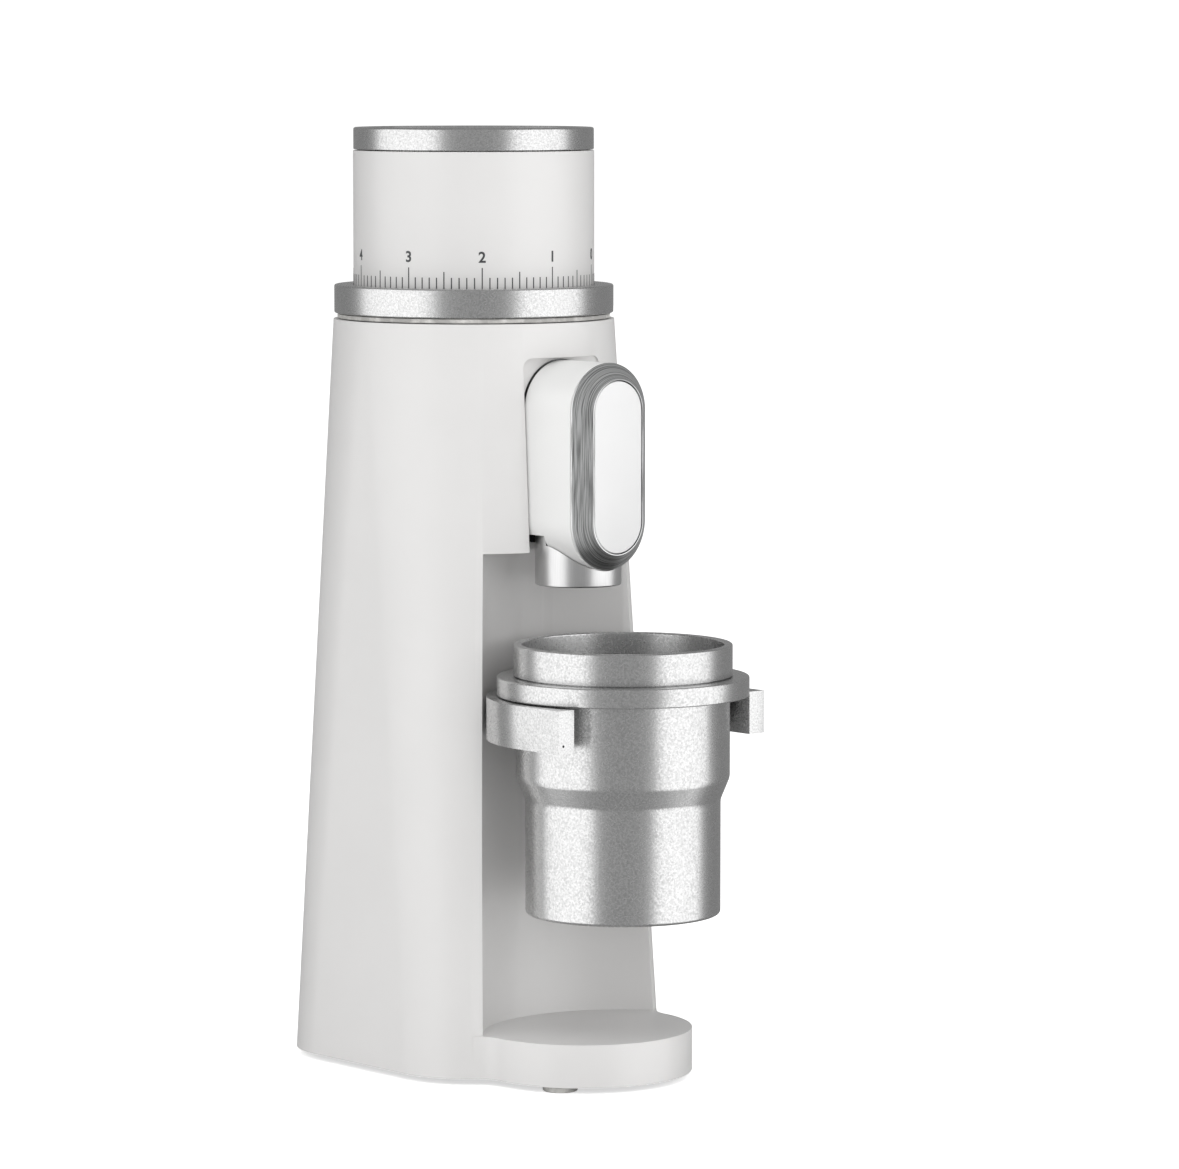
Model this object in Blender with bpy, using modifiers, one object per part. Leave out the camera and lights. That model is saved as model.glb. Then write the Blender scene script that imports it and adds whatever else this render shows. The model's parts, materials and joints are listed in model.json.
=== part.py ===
"""Single-dose burr coffee grinder with a slim lofted body, a graduated dial, a knocker lever and a dosing cup.

The frame is +Z up with the floor at z = 0. The front of the grinder faces -Y and +X is the right-hand side seen
from the front. The shapes are laid out from the burr axis (x = y = 0 in the model frame), and one parent empty
then centres the footprint on the world origin.
"""

import math

import bmesh
import bpy
from mathutils import Matrix, Vector

MM = 0.001

# Fits
GAP = 0.3 * MM                   # clearance between pieces that touch
RUNNING = 0.4 * MM               # radial clearance of pieces that turn or slide
MERGE = 0.00001
SHY = 0.05 * MM                   # keeps joined shapes from sharing a plane

# Body shell: a circle at the top lofted to a rounded square at the foot
WALL = 2.5 * MM
FOOT_LIFT = 2.0 * MM             # underside of the shell above the floor
BODY_TOP_Z = 237.3 * MM
BODY_TOP_R = 44.8 * MM
BASE_HALF_X = 49.2 * MM
BASE_HALF_Y = 49.9 * MM
BASE_SHIFT_Y = -1.1 * MM         # the rounded square's middle from the burr axis
BASE_CORNER_R = 27.5 * MM
TOP_LEDGE = 2.5 * MM
CORNER_STEPS = 8

# Niche and its foot disc
NICHE_BACK_Y = -28.0 * MM        # the niche wall where it is nearest the burr axis
DISC_TOP_Z = 15.5 * MM
DISC_Y = -53.1 * MM
DISC_R = 34.4 * MM
FOOT_FILLET_R = 11.0 * MM

# Base plate, feet and screws
PLATE_THICK = 2.5 * MM
PAD_R = 5.5 * MM
BOSS_R = 4.5 * MM
BOSS_OVERLAP = 0.3 * MM
SCREW_SHANK_R = 1.45 * MM
SCREW_HEAD_R = 2.9 * MM
SCREW_HEAD_H = 1.4 * MM
BOSS_TOP_Z = 20.0 * MM
FRONT_PAD_TURN = math.radians(34.0)

# Motor
MOTOR_R = 23.0 * MM
MOTOR_WALL = 1.5 * MM
MOTOR_LENGTH = 76.0 * MM
MOTOR_DROP = 21.0 * MM           # top of the motor below the chamber's floor
BELL_THICK = 3.0 * MM
REAR_BELL_DEPTH = 10.0 * MM
SHAFT_R = 4.0 * MM
CORE_R = 17.5 * MM
CORE_SLOTS = 8
MAGNET_THICK = 3.0 * MM

# Burr chamber
MOUNT_R = 24.4 * MM
MOUNT_THICK = 4.0 * MM
CHAMBER_DEPTH = 72.5 * MM
CHAMBER_FLOOR = 4.0 * MM
CHAMBER_R = 38.0 * MM
CHAMBER_BORE_R = 34.5 * MM
CHAMBER_TOP_R = 40.4 * MM
CHAMBER_TOP_BORE_R = 38.2 * MM
SPRING_LEDGE_H = 29.0 * MM       # above the chamber's floor
CHAMBER_RISE = 6.2 * MM          # chamber's rim above the body's top
BEARING_R = 11.0 * MM
BEARING_H = 7.0 * MM
POST_PITCH_R = 19.4 * MM
POST_R = 3.5 * MM

# Burrs
BURR_R = 32.0 * MM
BURR_BORE_R = 14.0 * MM
BURR_THICK = 6.0 * MM
BURR_GAP = 0.6 * MM              # between the burr faces with the dial at rest
LOWER_BURR_H = 11.3 * MM         # underside above the chamber's floor
BURR_GROOVES = 12
CARRIER_THICK = 5.0 * MM
CARRIER_FLANGE_H = 36.0 * MM     # above the chamber's floor
CARRIER_FLANGE = 4.0 * MM
THROAT_TOP_H = 55.0 * MM         # above the chamber's floor
THROAT_R = 14.0 * MM

# Collar, dial and hopper
GASKET_H = 1.3 * MM
COLLAR_INSET = 0.25 * MM         # collar's side in from the body's
COLLAR_H = 9.0 * MM
SLEEVE_R = 38.4 * MM
SLEEVE_WALL = 2.4 * MM
SLEEVE_RISE = 51.6 * MM          # top of the sleeve above the collar's foot
FUNNEL_WALL = 1.8 * MM
LID_H = 7.0 * MM
LID_PLUG = 7.0 * MM

# Spout, chute and knocker lever
SPOUT_Y = -50.8 * MM
SPOUT_R = 13.55 * MM
SPOUT_WALL = 1.5 * MM
SPOUT_DROP = 20.6 * MM           # its mouth below the lever's lower centre
SPOUT_TOP_DROP = 4.9 * MM        # its top below that centre
CHUTE_DROP = 7.4 * MM            # the chute's underside below it
CHUTE_HALF_X = 10.5 * MM
LEVER_R = 15.2 * MM              # round ends of the lever's outline
LEVER_STRAIGHT = 34.3 * MM       # between the centres of its round ends
LEVER_BELOW_TOP = 26.8 * MM      # its upper centre below the body's top
LEVER_BACK_Y = -42.6 * MM
LEVER_RIM_Y = -64.4 * MM
LEVER_FACE_Y = -69.8 * MM
LEVER_WALL = 1.5 * MM
PLATE_INSET = 5.5 * MM           # plate's edge in from the lever's
PIVOT_Y = -44.0 * MM
PIVOT_RISE = 6.0 * MM            # pin above the lever's upper centre
PIN_R = 1.5 * MM
SLOT_SIDE = 0.5 * MM
SLOT_TOP = 0.9 * MM
SLOT_CORNER_R = 3.0 * MM
WEB_FRONT_Y = -42.0 * MM         # front of the web that closes the slot's corners behind the lever
WEB_THICK = 1.2 * MM
NICHE_BELOW_LEVER = 10.2 * MM    # niche's ceiling below the lever's lower centre

# Fork and dosing cup
FORK_TOP_Z = 122.3 * MM
FORK_H = 13.4 * MM
FORK_CLEARANCE = 3.05 * MM       # round the cup's upper part
FORK_THICK = 6.2 * MM
FORK_REACH = 18.7 * MM           # ends of its arms forward of the cup's axis
FORK_PLAY = 1.4 * MM             # between its arms and the niche wall
FORK_BOSS_HALF_X = 10.0 * MM
FORK_SCREW_X = 6.0 * MM
CUP_BOTTOM_Z = 54.0 * MM
CUP_UPPER_R = 33.35 * MM
CUP_STEP_IN = 2.85 * MM          # the lower part's side in from the upper's
CUP_STEP_OUT = 0.8 * MM          # the rim's side out from it
CUP_SHOULDER_LOW_Z = 90.0 * MM
CUP_SHOULDER_HIGH_Z = 97.0 * MM
CUP_RIM_Z = 138.7 * MM
CUP_WALL = 2.0 * MM
CUP_MOUTH_WALL = 2.6 * MM
CUP_COLLAR_WIDTH = 6.05 * MM
CUP_COLLAR_H = 6.0 * MM

# Electrics
BOARD_HALF_X = 28.0 * MM
BOARD_FRONT_Y = -16.0 * MM
BOARD_BACK_Y = 32.0 * MM
BOARD_Z = 10.0 * MM
BOARD_THICK = 1.6 * MM
INLET_Z = 36.0 * MM
INLET_HALF = (13.5 * MM, 10.0 * MM)
INLET_DEPTH = 16.0 * MM
SWITCH_Z = 66.0 * MM
SWITCH_HALF = (6.5 * MM, 9.5 * MM)
SWITCH_DEPTH = 12.0 * MM

# Worked out from the sizes above: heights hang from the body's top
CHAMBER_TOP_Z = BODY_TOP_Z + CHAMBER_RISE
CHAMBER_FLOOR_Z = CHAMBER_TOP_Z - CHAMBER_DEPTH
SPRING_LEDGE_Z = CHAMBER_FLOOR_Z + SPRING_LEDGE_H
LOWER_BURR_Z = CHAMBER_FLOOR_Z + LOWER_BURR_H
UPPER_BURR_Z = LOWER_BURR_Z + BURR_THICK + BURR_GAP
CARRIER_BOTTOM_Z = UPPER_BURR_Z + BURR_THICK + GAP
CARRIER_FLANGE_Z = CHAMBER_FLOOR_Z + CARRIER_FLANGE_H
THROAT_TOP_Z = CHAMBER_FLOOR_Z + THROAT_TOP_H
BEARING_Z = CHAMBER_FLOOR_Z - BEARING_H - CHAMBER_FLOOR + 1.0 * MM
MOTOR_TOP_Z = CHAMBER_FLOOR_Z - MOTOR_DROP
MOTOR_BOTTOM_Z = MOTOR_TOP_Z - MOTOR_LENGTH
MOUNT_Z = MOTOR_TOP_Z + BELL_THICK + 2 * GAP
COLLAR_Z = BODY_TOP_Z + GASKET_H + 2 * GAP
COLLAR_R = BODY_TOP_R - COLLAR_INSET
SLEEVE_TOP_Z = COLLAR_Z + SLEEVE_RISE
SLEEVE_BOTTOM_Z = CHAMBER_TOP_Z + 2 * GAP
LEVER_HIGH_Z = BODY_TOP_Z - LEVER_BELOW_TOP
LEVER_LOW_Z = LEVER_HIGH_Z - LEVER_STRAIGHT
PLATE_R = LEVER_R - PLATE_INSET
PIVOT_Z = LEVER_HIGH_Z + PIVOT_RISE
SPOUT_BOTTOM_Z = LEVER_LOW_Z - SPOUT_DROP
NICHE_TOP_Z = LEVER_LOW_Z - NICHE_BELOW_LEVER

# Widths round the cup, and the cup's axis, follow the cup's upper part
CUP_LOWER_R = CUP_UPPER_R - CUP_STEP_IN
CUP_RIM_R = CUP_UPPER_R + CUP_STEP_OUT
CUP_COLLAR_R = CUP_UPPER_R + CUP_COLLAR_WIDTH
FORK_INNER_R = CUP_UPPER_R + FORK_CLEARANCE
FORK_OUTER_R = FORK_INNER_R + FORK_THICK
NICHE_R = FORK_OUTER_R + FORK_PLAY
CUP_Y = NICHE_BACK_Y - NICHE_R
FORK_FRONT_Y = CUP_Y - FORK_REACH
FRONT_REACH = CUP_COLLAR_R - CUP_Y
BACK_REACH = BASE_HALF_Y + BASE_SHIFT_Y
BURR_AXIS_Y = (FRONT_REACH - BACK_REACH) / 2


# ---------------------------------------------------------------- helpers

def clear_scene():
    for obj in list(bpy.data.objects):
        bpy.data.objects.remove(obj, do_unlink=True)


def new_collection(name):
    collection = bpy.data.collections.new(name)
    bpy.context.scene.collection.children.link(collection)
    return collection


def material(name, colour, roughness, metallic):
    mat = bpy.data.materials.get(name)
    if mat is None:
        mat = bpy.data.materials.new(name)
        mat.use_nodes = True
        shader = mat.node_tree.nodes["Principled BSDF"]
        shader.inputs["Base Color"].default_value = (*colour, 1.0)
        shader.inputs["Roughness"].default_value = roughness
        shader.inputs["Metallic"].default_value = metallic
    return mat


FINISHES = {
    "white_shell": ((0.80, 0.80, 0.79), 0.45, 0.0),
    "satin_aluminium": ((0.70, 0.70, 0.70), 0.32, 1.0),
    "gunmetal": ((0.22, 0.22, 0.23), 0.35, 1.0),
    "cast_aluminium": ((0.55, 0.55, 0.56), 0.50, 1.0),
    "burr_steel": ((0.60, 0.60, 0.62), 0.28, 1.0),
    "spring_steel": ((0.48, 0.48, 0.50), 0.30, 1.0),
    "zinc_screw": ((0.58, 0.58, 0.60), 0.35, 1.0),
    "steel_can": ((0.40, 0.40, 0.42), 0.40, 1.0),
    "black_plastic": ((0.03, 0.03, 0.03), 0.50, 0.0),
    "seal_silicone": ((0.75, 0.75, 0.73), 0.60, 0.0),
    "ferrite": ((0.10, 0.10, 0.11), 0.70, 0.0),
    "copper": ((0.72, 0.38, 0.22), 0.30, 1.0),
    "circuit_board": ((0.03, 0.22, 0.10), 0.45, 0.0),
}


def adopt(obj, name, finish=None):
    """Name an object, give it its finish and put it in the parts or the cutters."""
    obj.name = name
    obj.data.name = name
    for collection in list(obj.users_collection):
        collection.objects.unlink(obj)
    if finish is None:
        CUTTERS.objects.link(obj)
        obj.hide_render = True
        obj.display_type = "WIRE"
    else:
        PARTS.objects.link(obj)
        obj.data.materials.clear()
        obj.data.materials.append(material(finish, *FINISHES[finish]))
        obj.data.shade_smooth()
        obj.data.set_sharp_from_angle(angle=math.radians(35.0))
    obj.parent = GRINDER
    return obj


def hang_on(obj, pivot):
    """Parent a piece to the empty on its joint's axis, leaving its shape where it is."""
    obj.parent = pivot
    obj.location = obj.location - pivot.location
    return obj


def pivot_empty(name, place):
    empty = bpy.data.objects.new(name, None)
    PARTS.objects.link(empty)
    empty.location = place
    empty.parent = GRINDER if name != "grinder" else None
    return empty


def box(name, low, high, finish=None):
    middle = [(a + b) / 2 for a, b in zip(low, high)]
    size = [b - a for a, b in zip(low, high)]
    bpy.ops.mesh.primitive_cube_add(size=1.0, location=(0, 0, 0))
    obj = bpy.context.object
    obj.data.transform(Matrix.Translation(middle) @ Matrix.Diagonal((*size, 1.0)))
    return adopt(obj, name, finish)


def cylinder(name, radius, start, end, finish=None, segments=32):
    """A round bar between two points."""
    start = Vector(start)
    end = Vector(end)
    run = end - start
    bpy.ops.mesh.primitive_cylinder_add(vertices=segments, radius=radius, depth=run.length)
    obj = bpy.context.object
    turn = run.to_track_quat("Z", "Y").to_matrix().to_4x4()
    obj.data.transform(Matrix.Translation((start + end) / 2) @ turn)
    return adopt(obj, name, finish)


def turned(name, profile, finish=None, segments=32, centre_y=0.0):
    """A lathe-turned piece. The (radius, height) profile runs down the outside and up the inside."""
    closed = all(radius > 0 for radius, _ in profile)
    mesh = bpy.data.meshes.new(name)
    edges = [(i, i + 1) for i in range(len(profile) - 1)]
    if closed:
        edges.append((len(profile) - 1, 0))
    mesh.from_pydata([(radius, 0.0, height) for radius, height in profile], edges, [])
    obj = bpy.data.objects.new(name, mesh)
    PARTS.objects.link(obj)
    screw = obj.modifiers.new("Screw", "SCREW")
    screw.steps = segments
    screw.render_steps = segments
    screw.use_merge_vertices = True
    screw.merge_threshold = MERGE
    obj.location.y = centre_y
    return adopt(obj, name, finish)


def curve_to_mesh(obj):
    """The curve's own shape as a mesh object in the same place, with its caps welded."""
    bpy.context.view_layer.update()
    graph = bpy.context.evaluated_depsgraph_get()
    mesh = bpy.data.meshes.new_from_object(obj.evaluated_get(graph))
    work = bmesh.new()
    work.from_mesh(mesh)
    bmesh.ops.remove_doubles(work, verts=work.verts, dist=MERGE)
    work.to_mesh(mesh)
    work.free()
    solid = bpy.data.objects.new(obj.name + "_mesh", mesh)
    PARTS.objects.link(solid)
    solid.matrix_world = obj.matrix_world
    bpy.data.objects.remove(obj, do_unlink=True)
    return solid


def prism(name, outline, low, high, finish=None, along_y=False):
    """A flat outline given thickness along Z, or along Y with the outline's points as (x, z)."""
    curve = bpy.data.curves.new(name, "CURVE")
    curve.dimensions = "2D"
    curve.fill_mode = "BOTH"
    curve.extrude = (high - low) / 2
    spline = curve.splines.new("POLY")
    spline.points.add(len(outline) - 1)
    for point, (across, up) in zip(spline.points, outline):
        point.co = (across, up, 0.0, 1.0)
    spline.use_cyclic_u = True
    flat = bpy.data.objects.new(name, curve)
    PARTS.objects.link(flat)
    if along_y:
        flat.matrix_world = Matrix.Translation((0, (low + high) / 2, 0)) @ Matrix.Rotation(math.pi / 2, 4, "X")
    else:
        flat.matrix_world = Matrix.Translation((0, 0, (low + high) / 2))
    solid = curve_to_mesh(flat)
    solid.data.transform(solid.matrix_world)
    solid.matrix_world = Matrix.Identity(4)
    return adopt(solid, name, finish)


def loft(name, lower, upper, finish=None):
    """A closed solid between two rings with the same number of points."""
    work = bmesh.new()
    rings = [[work.verts.new(point) for point in ring] for ring in (lower, upper)]
    count = len(lower)
    for i in range(count):
        j = (i + 1) % count
        work.faces.new((rings[0][i], rings[0][j], rings[1][j], rings[1][i]))
    work.faces.new(reversed(rings[0]))
    work.faces.new(rings[1])
    bmesh.ops.recalc_face_normals(work, faces=work.faces)
    mesh = bpy.data.meshes.new(name)
    work.to_mesh(mesh)
    work.free()
    obj = bpy.data.objects.new(name, mesh)
    PARTS.objects.link(obj)
    return adopt(obj, name, finish)


def coil(name, radius, wire_r, start, end, turns, finish, per_turn=14):
    """A wire wound along the line from start to end."""
    start = Vector(start)
    run = Vector(end) - start
    turn = run.to_track_quat("Z", "Y")
    curve = bpy.data.curves.new(name, "CURVE")
    curve.dimensions = "3D"
    curve.bevel_depth = wire_r
    curve.bevel_resolution = 2
    curve.use_fill_caps = True
    steps = int(turns * per_turn)
    spline = curve.splines.new("POLY")
    spline.points.add(steps)
    for i, point in enumerate(spline.points):
        angle = 2 * math.pi * turns * i / steps
        around = Vector((radius * math.cos(angle), radius * math.sin(angle), run.length * i / steps))
        point.co = (*(start + turn @ around), 1.0)
    wire = bpy.data.objects.new(name, curve)
    PARTS.objects.link(wire)
    return adopt(curve_to_mesh(wire), name, finish)


def boolean(obj, tool, operation="DIFFERENCE"):
    modifier = obj.modifiers.new(operation.title(), "BOOLEAN")
    modifier.operation = operation
    modifier.solver = "EXACT"
    modifier.object = tool
    return obj


def cut(obj, *tools):
    for tool in tools:
        boolean(obj, tool)
    return obj


def add(obj, *tools):
    for tool in tools:
        boolean(obj, tool, "UNION")
    return obj


def arc(centre, radius, start, end, steps):
    """Points on an arc, angles in radians."""
    turns = [start + (end - start) * i / steps for i in range(steps + 1)]
    return [(centre[0] + radius * math.cos(t), centre[1] + radius * math.sin(t)) for t in turns]


# ---------------------------------------------------------------- outlines

def body_section(height, inset=0.0):
    """The body's outline at a height: straight sides that shrink to nothing towards the round top."""
    share = (height - FOOT_LIFT) / (BODY_TOP_Z - FOOT_LIFT)
    half_x = BASE_HALF_X + (BODY_TOP_R - BASE_HALF_X) * share
    half_y = BASE_HALF_Y + (BODY_TOP_R - BASE_HALF_Y) * share
    radius = BASE_CORNER_R + (BODY_TOP_R - BASE_CORNER_R) * share
    middle_y = BASE_SHIFT_Y * (1 - share)
    reach_x = max(half_x - radius, 0.0)
    reach_y = max(half_y - radius, 0.0)
    points = []
    for quarter, (sx, sy) in enumerate(((1, 1), (-1, 1), (-1, -1), (1, -1))):
        centre = (sx * reach_x, middle_y + sy * reach_y)
        start = quarter * math.pi / 2
        points += arc(centre, radius - inset, start, start + math.pi / 2, CORNER_STEPS)
    return points


def body_solid(name, low, high, inset=0.0, finish=None):
    """The lofted body between two heights, run a hair past the round top where its points would meet."""
    hair = 0.02 * MM
    rings = []
    for height in (low, high):
        ring = []
        for i, (x, y) in enumerate(body_section(height, inset)):
            quarter = i // (CORNER_STEPS + 1)
            sx = 1 if quarter in (0, 3) else -1
            sy = 1 if quarter in (0, 1) else -1
            ring.append((x + sx * hair, y + sy * hair, height))
        rings.append(ring)
    return loft(name, *rings, finish=finish)


def foot_outline(inset=0.0):
    """Plan of the foot disc with the hollow fillets that run it into the body's front corners."""
    corner = (BASE_HALF_X - BASE_CORNER_R, BASE_SHIFT_Y - (BASE_HALF_Y - BASE_CORNER_R))
    disc = (0.0, DISC_Y)
    to_corner = BASE_CORNER_R + FOOT_FILLET_R - GAP
    to_disc = DISC_R + FOOT_FILLET_R
    span = math.dist(corner, disc)
    along = (to_disc ** 2 - to_corner ** 2 + span ** 2) / (2 * span)
    rise = math.sqrt(to_disc ** 2 - along ** 2)
    ux = (corner[0] - disc[0]) / span
    uy = (corner[1] - disc[1]) / span
    fillet = (disc[0] + along * ux + rise * uy, disc[1] + along * uy - rise * ux)
    if fillet[0] < 0 or fillet[1] > corner[1]:
        fillet = (disc[0] + along * ux - rise * uy, disc[1] + along * uy + rise * ux)
    to_disc_angle = math.atan2(disc[1] - fillet[1], disc[0] - fillet[0]) % (2 * math.pi)
    to_corner_angle = math.atan2(corner[1] - fillet[1], corner[0] - fillet[0]) % (2 * math.pi)
    disc_start = math.atan2(fillet[1] - disc[1], fillet[0] - disc[0])
    right = arc(fillet, FOOT_FILLET_R + inset, to_corner_angle, to_disc_angle, 8)
    front = arc(disc, DISC_R - inset, disc_start, -math.pi - disc_start, 40)
    left = [(-x, y) for x, y in reversed(right)]
    inner = [(-corner[0], corner[1]), (corner[0], corner[1])]
    return right + front[1:-1] + left + inner


def stadium(radius, low_z=LEVER_LOW_Z, high_z=LEVER_HIGH_Z, steps=20):
    """The lever's outline: two round ends and straight sides, as (x, z)."""
    return arc((0, high_z), radius, 0, math.pi, steps) + arc((0, low_z), radius, math.pi, 2 * math.pi, steps)


def pad_places():
    """Where the four rubber pads, their screws and the shell's bosses stand."""
    reach = BASE_CORNER_R - WALL - BOSS_R + BOSS_OVERLAP
    step = reach * math.sqrt(0.5)
    back_x = BASE_HALF_X - BASE_CORNER_R + step
    back_y = BASE_SHIFT_Y + BASE_HALF_Y - BASE_CORNER_R + step
    front = DISC_R - WALL - BOSS_R + BOSS_OVERLAP
    front_x = front * math.cos(FRONT_PAD_TURN)
    front_y = DISC_Y - front * math.sin(FRONT_PAD_TURN)
    return {
        "front_left": (-front_x, front_y),
        "front_right": (front_x, front_y),
        "rear_left": (-back_x, back_y),
        "rear_right": (back_x, back_y),
    }


def back_face_y(height):
    """The body's flat back at a height."""
    share = (height - FOOT_LIFT) / (BODY_TOP_Z - FOOT_LIFT)
    return (BASE_SHIFT_Y * (1 - share)) + BASE_HALF_Y + (BODY_TOP_R - BASE_HALF_Y) * share


# ---------------------------------------------------------------- body

def make_body_shell():
    shell = body_solid("body_shell", FOOT_LIFT, BODY_TOP_Z, finish="white_shell")
    niche_top = NICHE_TOP_Z
    niche = cylinder("cut_niche", NICHE_R, (0, CUP_Y, DISC_TOP_Z), (0, CUP_Y, niche_top), segments=48)
    foot = prism("add_foot", foot_outline(), FOOT_LIFT, DISC_TOP_Z)
    inside = body_solid("cut_inside", FOOT_LIFT - WALL, BODY_TOP_Z - TOP_LEDGE, inset=WALL)
    keep = cylinder("keep_niche_wall", NICHE_R + WALL, (0, CUP_Y, DISC_TOP_Z - WALL),
                    (0, CUP_Y, niche_top + WALL), segments=48)
    under = prism("cut_foot_inside", foot_outline(WALL), -WALL, DISC_TOP_Z - WALL - SHY)
    cut(inside, keep)
    add(inside, under)
    cut(shell, niche)
    add(shell, foot)
    cut(shell, inside)
    neck = cylinder("cut_neck", CHAMBER_TOP_R + RUNNING, (0, 0, BODY_TOP_Z - 2 * TOP_LEDGE),
                    (0, 0, BODY_TOP_Z + TOP_LEDGE), segments=48)
    cut(shell, neck, lever_slot())
    web = prism("add_slot_web", slot_outline(GAP, NICHE_TOP_Z + SHY), WEB_FRONT_Y, WEB_FRONT_Y + WEB_THICK, along_y=True)
    cut(web, prism("cut_slot_web", stadium(LEVER_R + GAP, LEVER_LOW_Z - WALL), WEB_FRONT_Y - WALL,
                   WEB_FRONT_Y + WALL, along_y=True))
    add(shell, web)
    plate_top = FOOT_LIFT + PLATE_THICK + GAP
    for place, (x, y) in pad_places().items():
        top = BOSS_TOP_Z if place.startswith("rear") else DISC_TOP_Z - WALL / 2
        boss = cylinder("add_boss_" + place, BOSS_R, (x, y, plate_top), (x, y, top), segments=24)
        pilot = cylinder("cut_pilot_" + place, SCREW_SHANK_R + GAP, (x, y, 0), (x, y, top - WALL), segments=16)
        add(shell, boss)
        cut(shell, pilot)
    for side, x in (("left", -FORK_SCREW_X), ("right", FORK_SCREW_X)):
        hole = cylinder("cut_fork_hole_" + side, SCREW_SHANK_R + GAP, (x, CUP_Y + FORK_OUTER_R, fork_screw_z()),
                        (x, 0, fork_screw_z()), segments=16)
        cut(shell, hole)
    cut(shell, back_pocket("inlet", INLET_Z, INLET_HALF), back_pocket("switch", SWITCH_Z, SWITCH_HALF))
    return shell


def slot_outline(spread=0.0, low=NICHE_TOP_Z - WALL):
    """The lever's opening as (x, z), with rounded upper corners."""
    half = LEVER_R + SLOT_SIDE + spread
    top = LEVER_HIGH_Z + LEVER_R + SLOT_TOP + spread
    outline = [(-half, low), (half, low)]
    outline += arc((half - SLOT_CORNER_R, top - SLOT_CORNER_R), SLOT_CORNER_R, 0, math.pi / 2, 6)
    outline += arc((SLOT_CORNER_R - half, top - SLOT_CORNER_R), SLOT_CORNER_R, math.pi / 2, math.pi, 6)
    return outline


def lever_slot():
    """The opening that the lever stands in; its lower end runs into the niche."""
    return prism("cut_lever_slot", slot_outline(), -BASE_HALF_Y + BASE_SHIFT_Y - WALL,
                 SPOUT_Y + SPOUT_R + 2 * GAP, along_y=True)


def back_pocket(name, height, half):
    wide, tall = half[0] + GAP, half[1] + GAP
    return box("cut_" + name + "_hole", (-wide, BACK_REACH - 4 * WALL, height - tall),
               (wide, BACK_REACH + WALL, height + tall))


def fork_screw_z():
    return FORK_TOP_Z - FORK_H / 2


def make_base():
    outline = foot_outline(WALL + GAP)
    plate = body_solid("base_plate", FOOT_LIFT, FOOT_LIFT + PLATE_THICK, inset=WALL + GAP, finish="black_plastic")
    tongue = prism("add_plate_tongue", outline, FOOT_LIFT, FOOT_LIFT + PLATE_THICK)
    add(plate, tongue)
    for place, (x, y) in pad_places().items():
        head = SCREW_HEAD_R + GAP
        sink = cylinder("cut_sink_" + place, head, (x, y, 0), (x, y, FOOT_LIFT + SCREW_HEAD_H + GAP), segments=20)
        bore = cylinder("cut_bore_" + place, SCREW_SHANK_R + GAP, (x, y, 0), (x, y, 4 * PLATE_THICK), segments=16)
        cut(plate, sink, bore)
        screw("base_screw_" + place, (x, y, FOOT_LIFT), (0, 0, 1), 8.0 * MM)
        pad = turned("foot_pad_" + place, [(0, FOOT_LIFT - GAP), (PAD_R, FOOT_LIFT - GAP), (PAD_R, 0.4 * MM),
                                           (PAD_R - 0.4 * MM, 0), (0, 0)], "seal_silicone", segments=24)
        pad.location = (x, y, 0)
    post_top = BOARD_Z - GAP
    for i, (x, y) in enumerate(board_corners()):
        post = cylinder("add_post_%d" % i, 2.5 * MM, (x, y, FOOT_LIFT + GAP), (x, y, post_top), segments=16)
        add(plate, post)
    return plate


def screw(name, under_head, direction, length, head_r=SCREW_HEAD_R, shank_r=SCREW_SHANK_R):
    """A pan-head screw whose outer head face is at under_head and whose shank runs along direction."""
    slope = 0.3 * MM
    profile = [(0, length), (shank_r, length), (shank_r, SCREW_HEAD_H), (head_r, SCREW_HEAD_H),
               (head_r, slope), (head_r - slope, 0), (0, 0)]
    obj = turned(name, profile, "zinc_screw", segments=16)
    obj.rotation_euler = Vector(direction).to_track_quat("Z", "Y").to_euler()
    obj.location = under_head
    return obj


# ---------------------------------------------------------------- electrics

def board_corners():
    margin = 4.0 * MM
    xs = (-BOARD_HALF_X + margin, BOARD_HALF_X - margin)
    ys = (BOARD_FRONT_Y + margin, BOARD_BACK_Y - margin)
    return [(x, y) for x in xs for y in ys]


def make_electrics():
    top = BOARD_Z + BOARD_THICK
    box("power_board", (-BOARD_HALF_X, BOARD_FRONT_Y, BOARD_Z), (BOARD_HALF_X, BOARD_BACK_Y, top), "circuit_board")
    turned("smoothing_capacitor", [(0, top + 26 * MM), (7 * MM, top + 26 * MM), (8 * MM, top + 25 * MM),
                                   (8 * MM, top + GAP), (0, top + GAP)], "black_plastic", segments=32)
    bpy.data.objects["smoothing_capacitor"].location = (-BOARD_HALF_X + 11 * MM, 2 * MM, 0)
    transformer = box("transformer", (-2 * MM, -12 * MM, top + GAP), (24 * MM, 12 * MM, top + 20 * MM), "ferrite")
    winding = box("add_transformer_winding", (2 * MM, -14 * MM, top + 4 * MM), (20 * MM, 14 * MM, top + 16 * MM))
    add(transformer, winding)
    make_inlet()
    make_switch()


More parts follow.
